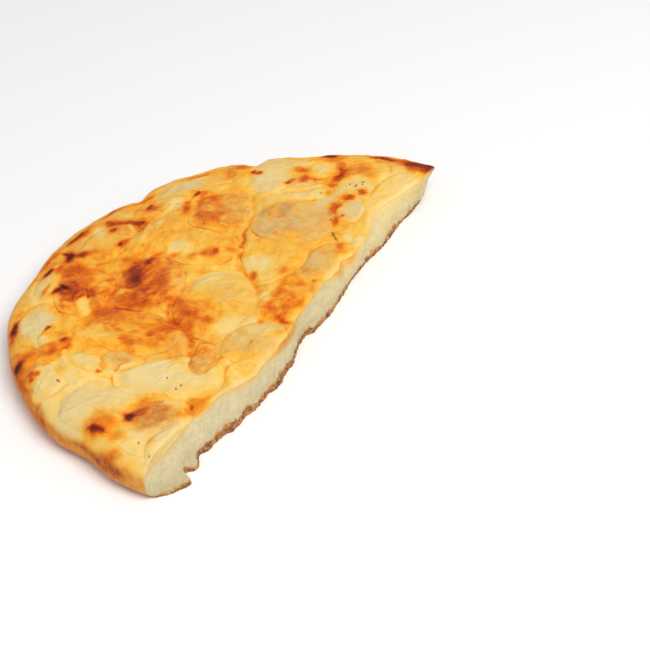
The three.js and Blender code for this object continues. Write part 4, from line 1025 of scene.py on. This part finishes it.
# ---- Materials ----
class Nodes:
    """Short calls for building a node tree."""

    def __init__(self, name, specular, coat):
        """New material whose shader has the given specular level and share of coat."""
        self.material = bpy.data.materials.new(name)
        self.material.use_nodes = True
        self.tree = self.material.node_tree
        self.shader = self.tree.nodes["Principled BSDF"]
        self.shader.inputs["Specular IOR Level"].default_value = specular
        self.shader.inputs["Coat Weight"].default_value = coat
        self.shader.inputs["Coat Roughness"].default_value = 0.22
        self.where = self.add("ShaderNodeTexCoord").outputs["Object"]

    def add(self, kind, **settings):
        """New node of a kind, with its settings."""
        node = self.tree.nodes.new(kind)
        for key, value in settings.items():
            setattr(node, key, value)
        return node

    def feed(self, socket, value):
        """Sets a socket to a number or a colour, or links another node's output to it."""
        if isinstance(value, tuple):
            socket.default_value = (*value, 1)
        elif isinstance(value, (int, float)):
            socket.default_value = value
        else:
            self.tree.links.new(value, socket)

    def shaded(self, **inputs):
        """Feeds the shader's own inputs, with _ in the place of spaces, and gives the material."""
        for key, value in inputs.items():
            self.feed(self.shader.inputs[key.replace("_", " ")], value)
        return self.material

    def value_of(self, name):
        """Value of an attribute of the mesh."""
        return self.add("ShaderNodeAttribute", attribute_name=name).outputs["Fac"]

    def texture(self, place, scale, detail):
        """Noise from 0 to 1 at a place, with its scale and detail."""
        node = self.add("ShaderNodeTexNoise")
        for key, value in (("Vector", place), ("Scale", scale), ("Detail", detail)):
            self.feed(node.inputs[key], value)
        return node.outputs["Fac"]

    def noise(self, size_mm, detail=3.0):
        """Noise of a given size over the object."""
        return self.texture(self.where, 1 / (size_mm * MM), detail)

    def fibres(self, size_mm):
        """Noise drawn out to three times its width along the piece's fibres."""
        place = self.add("ShaderNodeCombineXYZ")
        self.feed(place.inputs["X"], self.math("MULTIPLY", self.value_of("along"), 1 / 3))
        self.feed(place.inputs["Y"], self.value_of("across"))
        return self.texture(place.outputs["Vector"], 1 / size_mm, 3.0)

    def math(self, operation, *values):
        """Result of a calculation with numbers or sockets."""
        node = self.add("ShaderNodeMath", operation=operation)
        for socket, value in zip(node.inputs, values):
            self.feed(socket, value)
        return node.outputs[0]

    def centred(self, value):
        """Value less one half."""
        return self.math("SUBTRACT", value, 0.5)

    def clamp(self, value):
        """Value kept from 0 to 1."""
        return self.math("MINIMUM", self.math("MAXIMUM", value, 0.0), 1.0)

    def ramp(self, source, stops):
        """Colour for a value, blended between stops, each a place from 0 to 1 and a colour."""
        node = self.add("ShaderNodeValToRGB")
        elements = node.color_ramp.elements
        while len(elements) < len(stops):
            elements.new(0.5)
        for element, (place, color) in zip(elements, stops):
            element.position, element.color = place, (*color, 1)
        self.feed(node.inputs["Fac"], source)
        return node.outputs["Color"]

    def mix(self, share, a, b, blend="MIX"):
        """Colour a mixed with colour b by a share from 0 to 1."""
        node = self.add("ShaderNodeMix", data_type="RGBA", blend_type=blend)
        for number, value in ((0, share), (6, a), (7, b)):
            self.feed(node.inputs[number], value)
        return node.outputs[2]

    def bump(self, height, strength, distance_mm, before=None):
        """Normal bent by a height, after another bump where one is given."""
        node = self.add("ShaderNodeBump")
        node.inputs["Strength"].default_value = strength
        node.inputs["Distance"].default_value = distance_mm * MM
        self.feed(node.inputs["Height"], height)
        if before is not None:
            self.feed(node.inputs["Normal"], before)
        return node.outputs["Normal"]


def seen(red, green, blue):
    """Linear colour from screen values 0 to 255: the screen's curve undone."""
    parts = np.array([red, green, blue]) / 255
    return tuple(np.where(parts < 0.04045, parts / 12.92, ((parts + 0.055) / 1.055) ** 2.4).tolist())


def tinted(color, factors):
    """Colour with each of its parts multiplied by a factor."""
    return tuple(part * factor for part, factor in zip(color, factors))


BROWNING_PLACES = (0.0, 0.12, 0.25, 0.35, 0.45, 0.55, 0.63, 0.70, 0.78, 0.86, 0.93, 1.0)
# Screen colours at those places, from pale potato to char, where oil keeps it bright.
OILY_COLORS = [
    (250, 226, 166), (249, 215, 134), (254, 201, 84), (253, 184, 58), (248, 158, 38), (236, 128, 26),
    (219, 101, 20), (194, 76, 20), (152, 55, 22), (110, 37, 20), (74, 27, 18), (44, 18, 14),
]
# The same on dry crust and on dried potato: less bright, more tan.
DRY_COLORS = [
    (233, 215, 162), (228, 205, 146), (222, 188, 125), (217, 173, 104), (210, 155, 82), (202, 132, 60),
    (180, 112, 52), (150, 88, 38), (120, 64, 26), (92, 44, 20), (66, 30, 18), (42, 19, 14),
]

# Shares of the crumb colour: the pores, darkened as painted shade, and the walls of the pale crumb, then of
# the yellow crumb.
CRUMB_TINTS_AND_PORE_SHADE = [(0.891, 0.874, 0.847), (1, 1, 1), (1.031, 0.936, 0.709), (1.15, 1.067, 0.847)]
HERB_DARK = (0.553, 0.396, 0.241)    # shares of the herb colour in its dark places


def browning_ramp(nodes, level, colors):
    """Colour for a browning from the screen colours at the browning places."""
    return nodes.ramp(level, [(place, seen(*color)) for place, color in zip(BROWNING_PLACES, colors)])


def baked_color(nodes, spread, grain=None):
    """Colour of a baked surface: two browning ramps blended by dryness, with fine noise that is
    stronger where it is browner, and a grain of its own where one is given."""
    bake, dry = nodes.value_of("bake"), nodes.value_of("dry")
    fine, patch = nodes.centred(nodes.noise(0.9, 4)), nodes.centred(nodes.noise(3.4))
    fibres = nodes.centred(nodes.fibres(1.1))
    amount = nodes.math("MULTIPLY", nodes.math("MULTIPLY_ADD", bake, 1.3, 0.35), spread)
    amount = nodes.math("MULTIPLY", nodes.math("MULTIPLY_ADD", dry, 0.9, 0.4), amount)
    level = nodes.math("MULTIPLY_ADD", nodes.math("ADD", fine, patch), amount, bake)
    level = nodes.math("MULTIPLY_ADD", fibres, nodes.math("MULTIPLY_ADD", bake, 0.12, 0.11), level)
    specks = nodes.clamp(nodes.math("MULTIPLY_ADD", nodes.noise(1.7, 2), 9.0, -6.1))
    level = nodes.math("MULTIPLY_ADD", specks, 0.16, level)
    if grain is not None:
        level = nodes.math("ADD", level, grain)
    return nodes.mix(dry, browning_ramp(nodes, level, OILY_COLORS), browning_ramp(nodes, level, DRY_COLORS))


def dough_material(crumb_color):
    """Baked dough: crust colours by browning, and cream crumb on the cut with painted shade in its
    pores; the cut is darkened by its shade attribute, which is partly painted shade. Brown crust has
    a grain of its own along the border of the crumb."""
    nodes = Nodes("baked_dough", 0.07, 0.0)
    share = nodes.value_of("crumb")
    border = nodes.math("MULTIPLY", share, nodes.math("SUBTRACT", 1.0, share))
    brown = nodes.clamp(nodes.math("MULTIPLY_ADD", nodes.value_of("bake"), 5.0, -2.1))
    strength = nodes.math("MULTIPLY", nodes.math("MULTIPLY", border, brown), 6.0)
    crust = baked_color(nodes, 0.15, nodes.math("MULTIPLY", nodes.centred(nodes.noise(1.0)), strength))
    tints_and_pore_shade = [tinted(crumb_color, factors) for factors in CRUMB_TINTS_AND_PORE_SHADE]
    # Painted shade: the darker spots of this noise stand for shade in the crumb's pores.
    pores = nodes.noise(1.9, 5)
    pale = nodes.ramp(pores, [(0.34, tints_and_pore_shade[0]), (0.62, tints_and_pore_shade[1])])
    yellow = nodes.ramp(pores, [(0.34, tints_and_pore_shade[2]), (0.62, tints_and_pore_shade[3])])
    clouds = nodes.ramp(nodes.noise(6, 2), [(0.3, (0.94, 0.93, 0.90)), (0.7, (1.03, 1.03, 1.03))])
    crumb = nodes.mix(1.0, nodes.mix(nodes.value_of("dry"), yellow, pale), clouds, "MULTIPLY")
    # The shade attribute darkens the cut: partly painted shade.
    color = nodes.mix(1.0, nodes.mix(share, crust, crumb), nodes.value_of("shade"), "MULTIPLY")
    rough = nodes.math("MULTIPLY_ADD", share, 0.35, nodes.math("MULTIPLY", nodes.noise(3), 0.25))
    fine = nodes.bump(nodes.noise(0.7, 4), 0.2, 0.2)
    normal = nodes.bump(nodes.noise(2.4), 0.25, 0.35, fine)
    return nodes.shaded(Base_Color=color, Roughness=nodes.math("ADD", rough, 0.4), Normal=normal)


def potato_material():
    """Baked potato slice: browning ramps, a thin film of oil, faint fibres."""
    nodes = Nodes("baked_potato", 0.09, 0.02)
    fibres = nodes.bump(nodes.fibres(1.6), 0.4, 0.5)
    rough = nodes.math("MULTIPLY_ADD", nodes.noise(4), 0.3, 0.28)
    normal = nodes.bump(nodes.noise(0.8), 0.2, 0.22, fibres)
    return nodes.shaded(Base_Color=baked_color(nodes, 0.1), Roughness=rough, Normal=normal)


def herb_material(color):
    """Dried herb: dark olive brown, uneven."""
    nodes = Nodes("dried_herb", 0.2, 0.0)
    uneven = nodes.ramp(nodes.noise(1.2), [(0.35, tinted(color, HERB_DARK)), (0.65, tuple(color))])
    normal = nodes.bump(nodes.noise(0.5, 2), 0.3, 0.15)
    return nodes.shaded(Base_Color=uneven, Roughness=0.7, Normal=normal)


# ---- Stage ----
# Camera fitted to the loaf's outline: aim and distance in mm, angles in degrees, lens in mm.
CAMERA_AIM = (-8.70, -13.56, 10.0)
CAMERA_DISTANCE = 835.7
CAMERA_AZIMUTH = -59.54
CAMERA_ELEVATION = 34.22
CAMERA_ROLL = -4.30
CAMERA_LENS = 99.69
CAMERA_SENSOR = 36
FLOOR_HALF = 4.0                 # in metres


def add_camera():
    """Camera that looks along the photograph's direction, turned about its own axis by the roll."""
    azimuth, elevation = math.radians(CAMERA_AZIMUTH), math.radians(CAMERA_ELEVATION)
    back = Vector((math.sin(azimuth) * math.cos(elevation), -math.cos(azimuth) * math.cos(elevation),
                   math.sin(elevation)))
    aim = Vector(CAMERA_AIM) - Vector((*PLAN_CENTRE, 0))
    right = Vector((0, 0, 1)).cross(back).normalized()
    up = back.cross(right)
    turn = Matrix.Rotation(math.radians(CAMERA_ROLL), 3, back)
    right, up = turn @ right, turn @ up
    data = bpy.data.cameras.new("camera")
    data.lens, data.sensor_width = CAMERA_LENS, CAMERA_SENSOR
    data.clip_start, data.clip_end = 0.05, 20
    camera = bpy.data.objects.new("camera", data)
    place = Matrix((right, up, back)).transposed().to_4x4()
    place.translation = (aim + back * CAMERA_DISTANCE) * MM
    camera.matrix_world = place
    bpy.context.collection.objects.link(camera)
    bpy.context.scene.camera = camera


def add_light(name, place, size, energy, color):
    """Round soft light that faces the middle of the bread."""
    data = bpy.data.lights.new(name, "AREA")
    data.shape, data.size, data.energy, data.color = "DISK", size, energy, color
    light = bpy.data.objects.new(name, data)
    light.location = place
    light.rotation_mode = "QUATERNION"
    light.rotation_quaternion = (-Vector(place)).to_track_quat("-Z", "Y")
    bpy.context.collection.objects.link(light)


def add_floor(color):
    """Plain pale floor: a square sheet just under the base."""
    corners = [(x * FLOOR_HALF, y * FLOOR_HALF, 0) for x, y in ((-1, -1), (1, -1), (1, 1), (-1, 1))]
    mesh = bpy.data.meshes.new("floor")
    mesh.from_pydata(corners, [], [(0, 1, 2, 3)])
    floor = bpy.data.objects.new("floor", mesh)
    floor.location.z = -0.0001
    material = bpy.data.materials.new("floor_paint")
    material.use_nodes = True
    shader = material.node_tree.nodes["Principled BSDF"]
    shader.inputs["Base Color"].default_value = (*color, 1)
    shader.inputs["Roughness"].default_value = 0.9
    shader.inputs["Specular IOR Level"].default_value = 0.1
    shader.inputs["Emission Color"].default_value = (1, 1, 1, 1)
    shader.inputs["Emission Strength"].default_value = 0.05
    mesh.materials.append(material)
    bpy.context.collection.objects.link(floor)


def add_world(strength):
    """Even white light from all sides."""
    world = bpy.data.worlds.new("studio")
    world.use_nodes = True
    background = world.node_tree.nodes["Background"]
    background.inputs["Color"].default_value = (1, 1, 1, 1)
    background.inputs["Strength"].default_value = strength
    bpy.context.scene.world = world


# ---- Add-on ----
class FocacciaSettings(bpy.types.PropertyGroup):
    """Sizes, colours and light that a user would change."""

    browning: bpy.props.FloatProperty(
        name="Browning", description="Added to the browning of crust and potato, from 0 pale to 1 charred",
        default=0.0, min=-0.5, max=0.5, subtype="FACTOR")
    crumb_depth: bpy.props.FloatProperty(
        name="Crumb depth", description="Depth of the hollows and pores in the open crumb",
        default=0.001, min=0.0, max=0.002, unit="LENGTH")
    herb_size: bpy.props.FloatProperty(
        name="Herb size", description="Size of the herb flecks as a share of their size on the real loaf",
        default=1.0, min=0.2, max=2.0, subtype="FACTOR")
    crumb_color: bpy.props.FloatVectorProperty(
        name="Crumb colour", description="Lightest colour of the open crumb",
        subtype="COLOR", size=3, default=seen(220, 206, 166), min=0.0, max=1.0)
    herb_color: bpy.props.FloatVectorProperty(
        name="Herb colour", description="Lightest colour of the dried herbs",
        subtype="COLOR", size=3, default=seen(196, 136, 62), min=0.0, max=1.0)
    floor_color: bpy.props.FloatVectorProperty(
        name="Floor colour", description="Colour of the plain floor",
        subtype="COLOR", size=3, default=(0.985, 0.985, 0.985), min=0.0, max=1.0)
    ambient: bpy.props.FloatProperty(
        name="Ambient light", description="Strength of the even white light", default=0.5, min=0.0, max=2.0)
    key_power: bpy.props.FloatProperty(
        name="Key light", description="Power of the large soft light", default=16.5, min=0.0, unit="POWER")


class FOCACCIA_OT_bread(bpy.types.Operator):
    """Builds the bread with its crumb and crust"""

    bl_idname = "focaccia.bread"
    bl_label = "Bread"

    def execute(self, context):
        settings = context.scene.focaccia
        bread = build_bread(dough_material(settings.crumb_color), settings.crumb_depth, settings.browning)
        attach(bread, "root")
        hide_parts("bread")
        return {"FINISHED"}


class FOCACCIA_OT_slices(bpy.types.Operator):
    """Lays the baked potato slices on the bread"""

    bl_idname = "focaccia.slices"
    bl_label = "Potato slices"

    def execute(self, context):
        potato = potato_material()
        for index in range(len(SLICES)):
            piece = build_slice(index, potato, context.scene.focaccia.browning)
            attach(piece, "root")
            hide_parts(f"potato_slice_{index + 1:02d}")
        return {"FINISHED"}


class FOCACCIA_OT_herbs(bpy.types.Operator):
    """Scatters the herb flecks"""

    bl_idname = "focaccia.herbs"
    bl_label = "Herb flecks"

    def execute(self, context):
        settings = context.scene.focaccia
        herbs = build_herbs(herb_material(settings.herb_color), settings.herb_size)
        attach(herbs, "root")
        return {"FINISHED"}


class FOCACCIA_OT_stage(bpy.types.Operator):
    """Sets the camera, the floor and the light"""

    bl_idname = "focaccia.stage"
    bl_label = "Stage"

    def execute(self, context):
        settings = context.scene.focaccia
        add_camera()
        add_floor(settings.floor_color)
        add_world(settings.ambient)
        add_light("key", (-0.3, -0.9, 1.25), 1.1, settings.key_power, (1, 0.99, 0.97))
        context.scene.view_settings.view_transform = "Standard"
        return {"FINISHED"}


class FOCACCIA_PT_panel(bpy.types.Panel):
    """Lists the pieces and the settings"""

    bl_idname = "FOCACCIA_PT_panel"
    bl_label = "Focaccia"
    bl_space_type = "VIEW_3D"
    bl_region_type = "UI"
    bl_category = "Focaccia"

    def draw(self, context):
        settings = context.scene.focaccia
        for name in FocacciaSettings.__annotations__:
            self.layout.prop(settings, name)
        for operator in OPERATORS:
            self.layout.operator(operator.bl_idname)


OPERATORS = [FOCACCIA_OT_bread, FOCACCIA_OT_slices, FOCACCIA_OT_herbs, FOCACCIA_OT_stage]
CLASSES = [FocacciaSettings, *OPERATORS, FOCACCIA_PT_panel]


def register():
    """Registers the classes and puts the settings on the scene."""
    for cls in CLASSES:
        bpy.utils.register_class(cls)
    bpy.types.Scene.focaccia = bpy.props.PointerProperty(type=FocacciaSettings)


def unregister():
    """Takes the settings and the classes away again, last first."""
    del bpy.types.Scene.focaccia
    for cls in reversed(CLASSES):
        bpy.utils.unregister_class(cls)


def main():
    """Builds everything in order."""
    register()
    bpy.ops.focaccia.bread()
    bpy.ops.focaccia.slices()
    bpy.ops.focaccia.herbs()
    bpy.ops.focaccia.stage()


if __name__ == "__main__":
    main()
